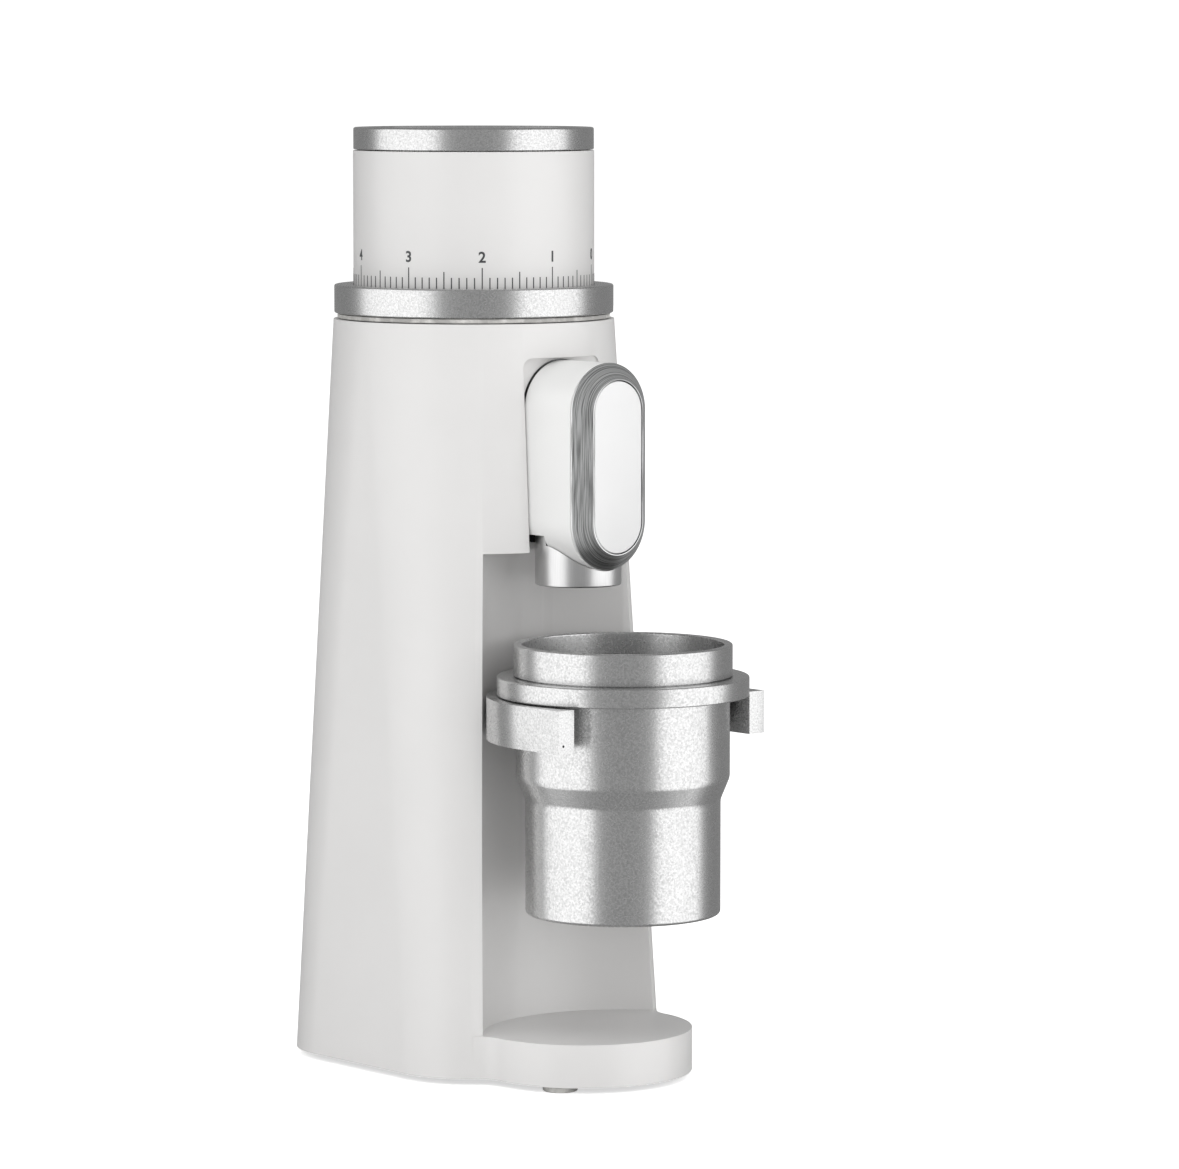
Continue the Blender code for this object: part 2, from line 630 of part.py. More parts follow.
def make_inlet():
    """The mains inlet in the back: a rounded block with a socket and its three flat pins."""
    wide, tall = INLET_HALF
    face = back_face_y(INLET_Z + tall) + 0.2 * MM
    back = face - INLET_DEPTH
    inlet = box("power_inlet", (-wide, back, INLET_Z - tall), (wide, face, INLET_Z + tall), "black_plastic")
    rim = 2.0 * MM
    floor_y = back + rim
    socket = box("cut_inlet_socket", (-wide + rim, floor_y, INLET_Z - tall + rim),
                 (wide - rim, face + rim, INLET_Z + tall - rim))
    cut(inlet, socket)
    for i, (x, z) in enumerate(((-5.5 * MM, -3 * MM), (0, -3 * MM), (5.5 * MM, -3 * MM))):
        pin = box("add_inlet_pin_%d" % i, (x - 0.9 * MM, back + rim / 2, INLET_Z + z - 1.2 * MM),
                  (x + 0.9 * MM, face - 3 * MM, INLET_Z + z + 1.2 * MM))
        add(inlet, pin)


def switch_pivot_place():
    return (0.0, back_face_y(SWITCH_Z) - 3.4 * MM, SWITCH_Z)


def make_switch():
    """The rocker switch above the inlet: an open frame and the rocker that tips in it."""
    wide, tall = SWITCH_HALF
    face = back_face_y(SWITCH_Z + tall) + 0.1 * MM
    frame = box("switch_frame", (-wide, face - SWITCH_DEPTH, SWITCH_Z - tall), (wide, face, SWITCH_Z + tall),
                "black_plastic")
    rim = 1.2 * MM
    well = box("cut_switch_well", (-wide + rim, face - SWITCH_DEPTH + rim, SWITCH_Z - tall + rim),
               (wide - rim, face + rim, SWITCH_Z + tall - rim))
    cut(frame, well)
    pivot = switch_pivot_place()
    half = tall - rim - RUNNING
    drop = 1.9 * MM
    outline = [(pivot[1] - 2.6 * MM, SWITCH_Z + 2.0 * MM), (pivot[1] - 2.6 * MM, SWITCH_Z - 2.0 * MM),
               (pivot[1] - 0.4 * MM, SWITCH_Z - half + 0.6 * MM), (pivot[1] + 1.0 * MM, SWITCH_Z - half + 0.4 * MM),
               (pivot[1] + drop, SWITCH_Z), (pivot[1] + 3.0 * MM, SWITCH_Z + half - 0.6 * MM),
               (pivot[1] - 0.4 * MM, SWITCH_Z + half - 0.6 * MM)]
    side = wide - rim - RUNNING
    rocker = loft("switch_rocker", [(-side, y, z) for y, z in outline], [(side, y, z) for y, z in outline],
                  finish="black_plastic")
    hang_on(rocker, SWITCH_PIVOT)


# ---------------------------------------------------------------- motor

def make_motor():
    """A brushed direct-drive motor: can, bells, magnets and the armature on the burr shaft."""
    low, high = MOTOR_BOTTOM_Z, MOTOR_TOP_Z
    inner = MOTOR_R - MOTOR_WALL
    turned("motor_can", [(MOTOR_R, high), (MOTOR_R, low), (inner, low), (inner, high)], "steel_can")
    shaft_hole = SHAFT_R + RUNNING
    turned("motor_front_bell", [(MOTOR_R, high + GAP + BELL_THICK), (MOTOR_R, high + GAP), (shaft_hole, high + GAP),
                                (shaft_hole, high + GAP + BELL_THICK)], "cast_aluminium")
    cut(bpy.data.objects["motor_front_bell"], *[
        cylinder("cut_bell_hole_%d" % i, 1.6 * MM, (x, y, high - GAP), (x, y, high + 3 * BELL_THICK), segments=16)
        for i, (x, y) in enumerate(motor_screw_places())])
    rear_low = low - GAP - REAR_BELL_DEPTH
    pocket_r = 6.0 * MM
    turned("motor_rear_bell", [(MOTOR_R, low - GAP), (MOTOR_R, rear_low + 2 * MM), (MOTOR_R - 2 * MM, rear_low),
                               (shaft_hole, rear_low), (shaft_hole, rear_low + 2 * MM),
                               (pocket_r + GAP, rear_low + 2 * MM), (pocket_r + GAP, rear_low + 8 * MM),
                               (inner, rear_low + 8 * MM), (inner, low - GAP)], "black_plastic")
    turned("shaft_bush", [(pocket_r, rear_low + 7.5 * MM), (pocket_r, rear_low + 2 * MM + GAP),
                          (SHAFT_R + GAP, rear_low + 2 * MM + GAP), (SHAFT_R + GAP, rear_low + 7.5 * MM)],
           "copper", segments=32)
    magnet_outer = inner - GAP
    magnet_inner = magnet_outer - MAGNET_THICK + GAP
    for side, middle in (("left", math.pi), ("right", 0.0)):
        spread = math.radians(62)
        outline = arc((0, 0), magnet_outer, middle - spread, middle + spread, 14)
        outline += arc((0, 0), magnet_inner, middle + spread, middle - spread, 14)
        prism("magnet_" + side, outline, low + 12 * MM, high - 8 * MM, "ferrite")
    core = cylinder("armature_core", CORE_R, (0, 0, low + 18 * MM), (0, 0, high - 14 * MM), "steel_can", segments=48)
    bore = cylinder("cut_core_bore", SHAFT_R + GAP, (0, 0, low), (0, 0, high), segments=24)
    cut(core, bore)
    for i in range(CORE_SLOTS):
        turn = 2 * math.pi * i / CORE_SLOTS
        slot = box("cut_core_slot_%d" % i, (11 * MM, -1.2 * MM, low), (CORE_R + 2 * MM, 1.2 * MM, high))
        slot.rotation_euler.z = turn
        cut(core, slot)
    hang_on(core, BURR_AXIS)
    commutator = turned("commutator", [(8 * MM, low + 15 * MM), (8 * MM, low + 4 * MM), (SHAFT_R + GAP, low + 4 * MM),
                                       (SHAFT_R + GAP, low + 15 * MM)], "copper", segments=32)
    hang_on(commutator, BURR_AXIS)
    shaft_top = LOWER_BURR_Z + 3.0 * MM
    shaft = cylinder("drive_shaft", SHAFT_R, (0, 0, rear_low + GAP), (0, 0, shaft_top), "burr_steel")
    hang_on(shaft, BURR_AXIS)


def motor_screw_places():
    pitch = 14.0 * MM
    return [(pitch, 0.0), (-pitch, 0.0)]


def post_places():
    return [(POST_PITCH_R * math.cos(t), POST_PITCH_R * math.sin(t))
            for t in (math.radians(90 + 120 * i) for i in range(3))]


def make_motor_mount():
    low, high = MOUNT_Z, MOUNT_Z + MOUNT_THICK
    mount = turned("motor_mount", [(MOUNT_R, high), (MOUNT_R, low), (8 * MM, low), (8 * MM, high)], "cast_aluminium")
    for i, (x, y) in enumerate(post_places()):
        sink_top = low + SCREW_HEAD_H + GAP
        head = cylinder("cut_mount_sink_%d" % i, SCREW_HEAD_R + GAP, (x, y, low - GAP), (x, y, sink_top), segments=20)
        bore = cylinder("cut_mount_bore_%d" % i, SCREW_SHANK_R + GAP, (x, y, low - GAP), (x, y, high + GAP), segments=16)
        cut(mount, head, bore)
        screw("mount_screw_%d" % (i + 1), (x, y, low), (0, 0, 1), 12.0 * MM)
    for i, (x, y) in enumerate(motor_screw_places()):
        bore = cylinder("cut_motor_screw_bore_%d" % i, 1.6 * MM, (x, y, low - GAP), (x, y, high + GAP), segments=16)
        cut(mount, bore)
        screw("motor_screw_%d" % (i + 1), (x, y, high + GAP + SCREW_HEAD_H), (0, 0, -1), 8.0 * MM,
              head_r=2.5 * MM, shank_r=1.3 * MM)


# ---------------------------------------------------------------- chamber and burrs

def make_chamber():
    floor = CHAMBER_FLOOR_Z
    pocket = BEARING_R + GAP
    pocket_top = BEARING_Z + BEARING_H + GAP
    boss_r = BEARING_R + 3 * MM
    flange = BODY_TOP_Z - TOP_LEDGE - GAP
    profile = [(CHAMBER_TOP_R, CHAMBER_TOP_Z), (CHAMBER_TOP_R, flange), (CHAMBER_TOP_R + 1.6 * MM, flange),
               (CHAMBER_TOP_R + 1.6 * MM, flange - 3 * MM), (CHAMBER_TOP_R, flange - 3 * MM),
               (CHAMBER_TOP_R, SPRING_LEDGE_Z - 2 * MM), (CHAMBER_R, SPRING_LEDGE_Z - 5 * MM),
               (CHAMBER_R, floor), (boss_r, floor), (boss_r, BEARING_Z), (pocket, BEARING_Z), (pocket, pocket_top),
               (SHAFT_R + RUNNING, pocket_top), (SHAFT_R + RUNNING, floor + CHAMBER_FLOOR),
               (CHAMBER_BORE_R, floor + CHAMBER_FLOOR), (CHAMBER_BORE_R, SPRING_LEDGE_Z),
               (CHAMBER_TOP_BORE_R, SPRING_LEDGE_Z), (CHAMBER_TOP_BORE_R, CHAMBER_TOP_Z)]
    chamber = turned("burr_chamber", profile, "cast_aluminium")
    for i, (x, y) in enumerate(post_places()):
        low = MOUNT_Z + MOUNT_THICK + GAP
        post = cylinder("add_chamber_post_%d" % i, POST_R, (x, y, low), (x, y, floor + GAP), segments=20)
        pilot = cylinder("cut_chamber_pilot_%d" % i, SCREW_SHANK_R + GAP, (x, y, low - GAP),
                         (x, y, low + 10 * MM), segments=16)
        add(chamber, post)
        cut(chamber, pilot)
    port = box("cut_chamber_port", (-9 * MM, -CHAMBER_R - WALL, floor + CHAMBER_FLOOR),
               (9 * MM, -CHAMBER_BORE_R + 6 * MM, floor + CHAMBER_FLOOR + 12 * MM))
    cut(chamber, port)
    turned("shaft_bearing", [(BEARING_R, BEARING_Z + BEARING_H), (BEARING_R, BEARING_Z), (SHAFT_R + GAP, BEARING_Z),
                             (SHAFT_R + GAP, BEARING_Z + BEARING_H)], "burr_steel", segments=48)
    gasket_z = COLLAR_Z - GAP
    turned("collar_gasket", [(COLLAR_R - 1.0 * MM, gasket_z), (COLLAR_R - 1.0 * MM, BODY_TOP_Z + GAP),
                             (CHAMBER_TOP_R + GAP, BODY_TOP_Z + GAP), (CHAMBER_TOP_R + GAP, gasket_z)],
           "seal_silicone")
    lip_z = CHAMBER_TOP_Z + GAP
    top = COLLAR_Z + COLLAR_H
    ease = 0.5 * MM
    turned("collar_ring", [(COLLAR_R - ease, top), (COLLAR_R, top - ease), (COLLAR_R, COLLAR_Z + ease),
                           (COLLAR_R - ease, COLLAR_Z), (CHAMBER_TOP_R + GAP, COLLAR_Z), (CHAMBER_TOP_R + GAP, lip_z),
                           (SLEEVE_R + GAP, lip_z), (SLEEVE_R + GAP, top)], "satin_aluminium", segments=48)


def grooved(ring, name, face_z, depth):
    """Radial cutting grooves in a burr's face."""
    for i in range(BURR_GROOVES):
        groove = box("cut_%s_groove_%d" % (name, i), (BURR_BORE_R - 2 * MM, -1.4 * MM, face_z - depth),
                     (BURR_R - 2 * MM, 1.4 * MM, face_z + depth))
        groove.rotation_euler = (math.radians(25), 0, 2 * math.pi * i / BURR_GROOVES)
        groove.data.transform(Matrix.Translation((0, 0, -face_z)))
        groove.location.z = face_z
        cut(ring, groove)
    return ring


def make_burrs():
    hub_r = 8 * MM
    low = LOWER_BURR_Z - GAP - CARRIER_THICK
    carrier = turned("lower_burr_carrier", [(BURR_R - 1 * MM, low + CARRIER_THICK), (BURR_R - 1 * MM, low),
                                            (SHAFT_R + GAP, low), (SHAFT_R + GAP, low + CARRIER_THICK)],
                     "cast_aluminium")
    for side, sign in (("left", -1), ("right", 1)):
        reach = sorted((sign * (BURR_R - 3 * MM), sign * (CHAMBER_BORE_R - RUNNING)))
        sweeper = box("add_sweeper_" + side, (reach[0], -2 * MM, low), (reach[1], 2 * MM, low + CARRIER_THICK))
        add(carrier, sweeper)
    hang_on(carrier, BURR_AXIS)
    lower = turned("lower_burr", [(BURR_R, LOWER_BURR_Z + BURR_THICK), (BURR_R, LOWER_BURR_Z),
                                  (BURR_BORE_R, LOWER_BURR_Z), (BURR_BORE_R, LOWER_BURR_Z + BURR_THICK)],
                   "burr_steel")
    hang_on(grooved(lower, "lower", LOWER_BURR_Z + BURR_THICK, 1.2 * MM), BURR_AXIS)
    nut = cylinder("carrier_nut", hub_r, (0, 0, LOWER_BURR_Z), (0, 0, LOWER_BURR_Z + 4.5 * MM), "zinc_screw",
                   segments=6)
    nut_bore = cylinder("cut_nut_bore", SHAFT_R + GAP, (0, 0, LOWER_BURR_Z - GAP), (0, 0, LOWER_BURR_Z + 3.6 * MM),
                        segments=24)
    hang_on(cut(nut, nut_bore), BURR_AXIS)

    upper = turned("upper_burr", [(BURR_R, UPPER_BURR_Z + BURR_THICK), (BURR_R, UPPER_BURR_Z),
                                  (BURR_BORE_R, UPPER_BURR_Z), (BURR_BORE_R, UPPER_BURR_Z + BURR_THICK)],
                   "burr_steel")
    hang_on(grooved(upper, "upper", UPPER_BURR_Z, 1.2 * MM), BURR_AXIS)
    body_r = CHAMBER_BORE_R - RUNNING
    flange_r = CHAMBER_TOP_BORE_R - RUNNING
    web = CARRIER_BOTTOM_Z + 6 * MM
    top = CARRIER_FLANGE_Z + CARRIER_FLANGE
    upper_carrier = turned("upper_burr_carrier", [
        (flange_r, top), (flange_r, CARRIER_FLANGE_Z), (body_r, CARRIER_FLANGE_Z), (body_r, CARRIER_BOTTOM_Z),
        (THROAT_R, CARRIER_BOTTOM_Z), (THROAT_R, THROAT_TOP_Z), (THROAT_R + 2.5 * MM, THROAT_TOP_Z),
        (THROAT_R + 2.5 * MM, web), (body_r - 3 * MM, web), (body_r - 3 * MM, top)], "cast_aluminium")
    hang_on(upper_carrier, BURR_AXIS)
    wire = 0.8 * MM
    coil_r = (body_r + CHAMBER_TOP_BORE_R) / 2
    coil("carrier_spring", coil_r, wire, (0, 0, SPRING_LEDGE_Z + GAP + wire),
         (0, 0, CARRIER_FLANGE_Z - GAP - wire), 2.5, "spring_steel", per_turn=18)


# ---------------------------------------------------------------- dial, hopper, lid

def make_dial():
    inner = SLEEVE_R - SLEEVE_WALL
    ease = 0.3 * MM
    sleeve = turned("dial_sleeve", [(SLEEVE_R - ease, SLEEVE_TOP_Z), (SLEEVE_R, SLEEVE_TOP_Z - ease),
                                    (SLEEVE_R, SLEEVE_BOTTOM_Z), (inner, SLEEVE_BOTTOM_Z), (inner, SLEEVE_TOP_Z)],
                    "white_shell", segments=48)
    ring_r = CHAMBER_TOP_BORE_R - RUNNING
    ring_low = CARRIER_FLANGE_Z + CARRIER_FLANGE + GAP
    thread = turned("thread_ring", [(ring_r, SLEEVE_BOTTOM_Z - GAP), (ring_r, ring_low), (ring_r - 4.4 * MM, ring_low),
                                    (ring_r - 4.4 * MM, SLEEVE_BOTTOM_Z - GAP)], "cast_aluminium")
    rim = inner - GAP
    spigot = THROAT_R - RUNNING
    funnel_low = THROAT_TOP_Z - 6 * MM
    cone_low = THROAT_TOP_Z + 6 * MM
    cone_high = SLEEVE_BOTTOM_Z + 16 * MM
    wall = FUNNEL_WALL
    funnel = turned("hopper_funnel", [
        (rim, SLEEVE_TOP_Z - GAP), (rim, cone_high), (spigot, cone_low), (spigot, funnel_low),
        (spigot - wall, funnel_low), (spigot - wall, cone_low + wall / 2), (rim - wall, cone_high + wall / 2),
        (rim - wall, SLEEVE_TOP_Z - GAP)], "black_plastic")
    for piece in (sleeve, thread, funnel):
        hang_on(piece, BURR_AXIS)
    low = SLEEVE_TOP_Z + GAP
    top = low + LID_H
    plug_r = rim - wall - 1.2 * MM
    lid = turned("lid", [(0, top - 1.0 * MM), (SLEEVE_R - 4 * MM, top - 1.0 * MM), (SLEEVE_R - 3.5 * MM, top),
                         (SLEEVE_R - 0.6 * MM, top), (SLEEVE_R - 0.1 * MM, top - 0.5 * MM), (SLEEVE_R - 0.1 * MM, low),
                         (plug_r, low), (plug_r, low - 2 * MM), (plug_r - 1 * MM, low - 2 * MM),
                         (plug_r - 1 * MM, low - 4.6 * MM), (plug_r, low - 4.6 * MM), (plug_r, low - LID_PLUG),
                         (plug_r - 2.5 * MM, low - LID_PLUG), (plug_r - 2.5 * MM, low + 2 * MM), (0, low + 2 * MM)],
                 "satin_aluminium", segments=48)
    seal = turned("lid_seal", [(plug_r + 0.8 * MM, low - 2 * MM - GAP), (plug_r + 0.8 * MM, low - 4.6 * MM + GAP),
                               (plug_r - 1 * MM + GAP, low - 4.6 * MM + GAP),
                               (plug_r - 1 * MM + GAP, low - 2 * MM - GAP)], "seal_silicone")
    for piece in (lid, seal):
        hang_on(piece, BURR_AXIS)


# ---------------------------------------------------------------- spout and lever

def make_spout():
    top = LEVER_LOW_Z - SPOUT_TOP_DROP
    bore = SPOUT_R - SPOUT_WALL
    tube = turned("spout_tube", [(SPOUT_R, top), (SPOUT_R, SPOUT_BOTTOM_Z), (bore, SPOUT_BOTTOM_Z), (bore, top)],
                  "satin_aluminium", centre_y=SPOUT_Y)
    trim = prism("cut_spout_trim", stadium(LEVER_R + RUNNING), LEVER_FACE_Y - WALL, lever_mouth_y() + GAP,
                 along_y=True)
    back = -CHAMBER_R - RUNNING
    front = lever_mouth_y() + 1.2 * MM
    chute_low = LEVER_LOW_Z - CHUTE_DROP
    room = box("cut_chute_room", (-CHUTE_HALF_X - GAP, front - GAP, chute_low - GAP),
               (CHUTE_HALF_X + GAP, back + WALL, LEVER_LOW_Z))
    cut(tube, trim, room)
    port_low = CHAMBER_FLOOR_Z + CHAMBER_FLOOR
    duct = [(back, chute_low), (back, port_low + 14 * MM), (back - 3 * MM, port_low + 14 * MM), (front, chute_low + 9 * MM),
            (front, chute_low)]
    wide = CHUTE_HALF_X
    chute = loft("chute", [(-wide, y, z) for y, z in duct], [(wide, y, z) for y, z in duct], finish="black_plastic")
    wall = 1.5 * MM
    hollow = [(back + wall, port_low), (back + wall, port_low + 12 * MM), (back - 2.4 * MM, port_low + 12 * MM),
              (front + wall, chute_low + 8 * MM), (front + wall, chute_low - wall), (back - wall, chute_low - wall),
              (back - wall, port_low - 1 * MM)]
    inside = wide - wall
    cut(chute, loft("cut_chute", [(-inside, y, z) for y, z in hollow], [(inside, y, z) for y, z in hollow]))


def lever_mouth_y():
    """Behind this line the lever's underside is open for the chute."""
    return SPOUT_Y - 0.4 * MM


def make_lever():
    housing = prism("lever_housing", stadium(LEVER_R), LEVER_RIM_Y, LEVER_BACK_Y, "white_shell", along_y=True)
    hollow = prism("cut_lever_inside", stadium(LEVER_R - LEVER_WALL), LEVER_RIM_Y + LEVER_WALL, LEVER_BACK_Y + WALL,
                   along_y=True)
    mouth = box("cut_lever_mouth", (-LEVER_R, lever_mouth_y(), LEVER_LOW_Z - LEVER_R - WALL),
                (LEVER_R, LEVER_BACK_Y + WALL, LEVER_LOW_Z - 4.6 * MM))
    cut(housing, hollow, mouth)
    rim = LEVER_RIM_Y - GAP
    hole_r = PLATE_R + GAP
    ring = loft("lever_bevel_ring", [(x, rim, z) for x, z in stadium(LEVER_R)],
                [(x, LEVER_FACE_Y, z) for x, z in stadium(hole_r + 0.3 * MM)], finish="gunmetal")
    cut(ring, prism("cut_ring_hole", stadium(hole_r), LEVER_FACE_Y - WALL, rim + WALL, along_y=True))
    plate = prism("lever_front_plate", stadium(PLATE_R), LEVER_FACE_Y, rim, "white_shell", along_y=True)
    reach = LEVER_R - LEVER_WALL - GAP
    pin_reach = math.sqrt(reach ** 2 - (PIVOT_Z - LEVER_HIGH_Z + PIN_R) ** 2)
    pin = cylinder("lever_pin", PIN_R, (-pin_reach, PIVOT_Y, PIVOT_Z), (pin_reach, PIVOT_Y, PIVOT_Z), "spring_steel",
                   segments=24)
    for piece in (housing, ring, plate, pin):
        hang_on(piece, LEVER_PIVOT)
    half = 4.0 * MM
    back = -CHAMBER_TOP_R - GAP
    bracket = box("lever_bracket", (-half, PIVOT_Y - 2.8 * MM, PIVOT_Z - 6 * MM), (half, back, PIVOT_Z + 3 * MM),
                  "cast_aluminium")
    cut(bracket, cylinder("cut_bracket_bore", PIN_R + RUNNING / 2, (-LEVER_R, PIVOT_Y, PIVOT_Z),
                          (LEVER_R, PIVOT_Y, PIVOT_Z), segments=24))
    coil_r = PIN_R + 1.0 * MM
    wire = 0.35 * MM
    spring_rise = PIVOT_Z - LEVER_HIGH_Z + coil_r + wire + GAP
    spring_reach = math.sqrt((LEVER_R - LEVER_WALL) ** 2 - spring_rise ** 2) - wire - GAP
    coil("lever_spring", coil_r, wire, (half + wire + GAP, PIVOT_Y, PIVOT_Z), (spring_reach, PIVOT_Y, PIVOT_Z), 3.5,
         "spring_steel", per_turn=12)


# ---------------------------------------------------------------- fork and cup

def make_fork():
    """The U-shaped fork that carries the cup by its collar, with a boss against the niche wall."""
    low = FORK_TOP_Z - FORK_H
    outer = arc((0, CUP_Y), FORK_OUTER_R, 0, math.pi, 40)
    inner = arc((0, CUP_Y), FORK_INNER_R, math.pi, 0, 40)
    outline = [(FORK_OUTER_R, FORK_FRONT_Y)] + outer + [(-FORK_OUTER_R, FORK_FRONT_Y)]
    outline += [(-FORK_INNER_R, FORK_FRONT_Y)] + inner + [(FORK_INNER_R, FORK_FRONT_Y)]
    fork = prism("cup_fork", outline, low, FORK_TOP_Z, "satin_aluminium")
    seat_r = NICHE_R - GAP
    spread = math.asin(FORK_BOSS_HALF_X / seat_r)
    boss_outline = arc((0, CUP_Y), seat_r, math.pi / 2 - spread, math.pi / 2 + spread, 10)
    middle_r = (FORK_OUTER_R + FORK_INNER_R) / 2
    boss_outline += arc((0, CUP_Y), middle_r, math.pi / 2 + spread, math.pi / 2 - spread, 10)
    add(fork, prism("add_fork_boss", boss_outline, low, FORK_TOP_Z))
    z = fork_screw_z()
    for side, x in (("left", -FORK_SCREW_X), ("right", FORK_SCREW_X)):
        wall_y = CUP_Y + math.sqrt((NICHE_R + WALL) ** 2 - x * x)
        bore = cylinder("cut_fork_bore_" + side, SCREW_SHANK_R + GAP, (x, wall_y, z), (x, wall_y - 9 * MM, z),
                        segments=16)
        cut(fork, bore)
        screw("fork_screw_" + side, (x, wall_y + SCREW_HEAD_H + 2 * GAP, z), (0, -1, 0), 9.0 * MM,
              head_r=2.6 * MM)


def make_cup():
    low = CUP_BOTTOM_Z
    ease = 0.8 * MM
    seat_z = FORK_TOP_Z + GAP + CUP_COLLAR_H + GAP
    mouth_r = CUP_RIM_R - CUP_MOUTH_WALL
    inner_low = CUP_LOWER_R - CUP_WALL
    cup = turned("dosing_cup", [
        (0, low + CUP_WALL), (inner_low, low + CUP_WALL), (inner_low, CUP_SHOULDER_LOW_Z),
        (mouth_r, CUP_SHOULDER_HIGH_Z), (mouth_r, CUP_RIM_Z), (CUP_RIM_R - 0.3 * MM, CUP_RIM_Z),
        (CUP_RIM_R, CUP_RIM_Z - 0.3 * MM), (CUP_RIM_R, seat_z), (CUP_UPPER_R, seat_z),
        (CUP_UPPER_R, CUP_SHOULDER_HIGH_Z), (CUP_LOWER_R, CUP_SHOULDER_LOW_Z), (CUP_LOWER_R, low + ease),
        (CUP_LOWER_R - ease, low), (0, low)], "satin_aluminium", segments=48, centre_y=CUP_Y)
    bottom = FORK_TOP_Z + GAP
    top = bottom + CUP_COLLAR_H
    soft = 0.4 * MM
    collar = turned("cup_collar", [
        (CUP_COLLAR_R - soft, top), (CUP_COLLAR_R, top - soft), (CUP_COLLAR_R, bottom + soft),
        (CUP_COLLAR_R - soft, bottom), (CUP_UPPER_R + GAP, bottom), (CUP_UPPER_R + GAP, top)],
        "satin_aluminium", segments=48, centre_y=CUP_Y)
    for piece in (cup, collar):
        hang_on(piece, CUP_AXIS)


# ---------------------------------------------------------------- build

clear_scene()
PARTS = new_collection("burr_coffee_grinder")
CUTTERS = new_collection("cutters")
GRINDER = pivot_empty("grinder", (0, BURR_AXIS_Y, 0))
BURR_AXIS = pivot_empty("burr_axis", (0, 0, LOWER_BURR_Z))
LEVER_PIVOT = pivot_empty("lever_pivot", (0, PIVOT_Y, PIVOT_Z))
CUP_AXIS = pivot_empty("cup_axis", (0, CUP_Y, CUP_BOTTOM_Z))
SWITCH_PIVOT = pivot_empty("switch_pivot", switch_pivot_place())

make_body_shell()
make_base()
make_electrics()
make_motor()
make_motor_mount()
make_chamber()
make_burrs()
make_dial()
make_spout()
make_lever()
make_fork()
make_cup()
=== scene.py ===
"""Burr coffee grinder: its visible pieces, their finishes and a plain studio, modelled around the
packed parts."""

import json
import math

import bmesh
import bpy
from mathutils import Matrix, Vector


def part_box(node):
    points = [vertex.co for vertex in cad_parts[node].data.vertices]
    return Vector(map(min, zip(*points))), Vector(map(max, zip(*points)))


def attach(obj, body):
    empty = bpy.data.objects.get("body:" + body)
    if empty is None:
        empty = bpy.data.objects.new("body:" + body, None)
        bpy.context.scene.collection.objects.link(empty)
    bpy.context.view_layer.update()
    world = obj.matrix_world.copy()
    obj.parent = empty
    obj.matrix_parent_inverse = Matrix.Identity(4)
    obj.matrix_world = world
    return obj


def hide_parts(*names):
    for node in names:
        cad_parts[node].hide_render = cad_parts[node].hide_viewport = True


bl_info = {
    "name": "Burr Coffee Grinder",
    "version": (1, 0, 0),
    "blender": (4, 5, 0),
    "location": "View3D > Sidebar > Grinder",
    "description": "Models the visible pieces of a burr coffee grinder and a studio around it",
    "category": "Object",
}

MM = 0.001
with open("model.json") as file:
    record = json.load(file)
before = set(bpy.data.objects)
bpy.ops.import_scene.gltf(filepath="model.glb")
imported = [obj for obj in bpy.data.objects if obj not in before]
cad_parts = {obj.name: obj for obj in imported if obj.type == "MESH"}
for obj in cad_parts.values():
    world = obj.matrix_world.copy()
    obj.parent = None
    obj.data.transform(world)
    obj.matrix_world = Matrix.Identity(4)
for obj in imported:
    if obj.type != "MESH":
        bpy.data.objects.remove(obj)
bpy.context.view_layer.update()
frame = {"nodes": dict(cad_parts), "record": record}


# ------------------------------------------------------------ places read from the frame

def span(node):
    """Lowest and highest corner of a CAD node."""
    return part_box(node)


def middle(node):
    low, high = span(node)
    return (low + high) / 2


def radius_of(node):
    low, high = span(node)
    return (high.x - low.x) / 2


def lever_spine():
    """Heights of the centres of the lever's two round ends."""
    low, high = span("lever_housing")
    radius = (high.x - low.x) / 2
    return low.z + radius, high.z - radius


BURR_Y = middle("collar_ring").y
CUP_Y = middle("dosing_cup").y
SPOUT_Y = span("spout_tube")[1].y - radius_of("spout_tube")
FLOOR_Z = 0.0


# ------------------------------------------------------------ sizes kept by several pieces

GAP = 0.3 * MM              # between a piece and the hole it sits in
SCREW_BORE = 1.75 * MM      # radius of the bores for the fork's and the base's screws
NECK_BORE = 40.8 * MM       # radius of the hole in the body's top
NECK = 40.7 * MM            # radius inside the collar and its gasket
DISC_TOP = 15.5 * MM        # top of the foot disc
NICHE_TOP = 166.0 * MM      # ceiling of the niche
CUP_UPPER = 33.35 * MM      # radius of the cup above its shoulder
CUP_LOWER = 30.5 * MM       # radius of the cup below its shoulder


# ------------------------------------------------------------ settings

def length_setting(name, description, default):
    return bpy.props.FloatProperty(name=name, description=description, default=default, min=0.0,
                                   subtype="DISTANCE", unit="LENGTH")


def colour_setting(name, description, default):
    return bpy.props.StringProperty(name=name, description=description, default=default)


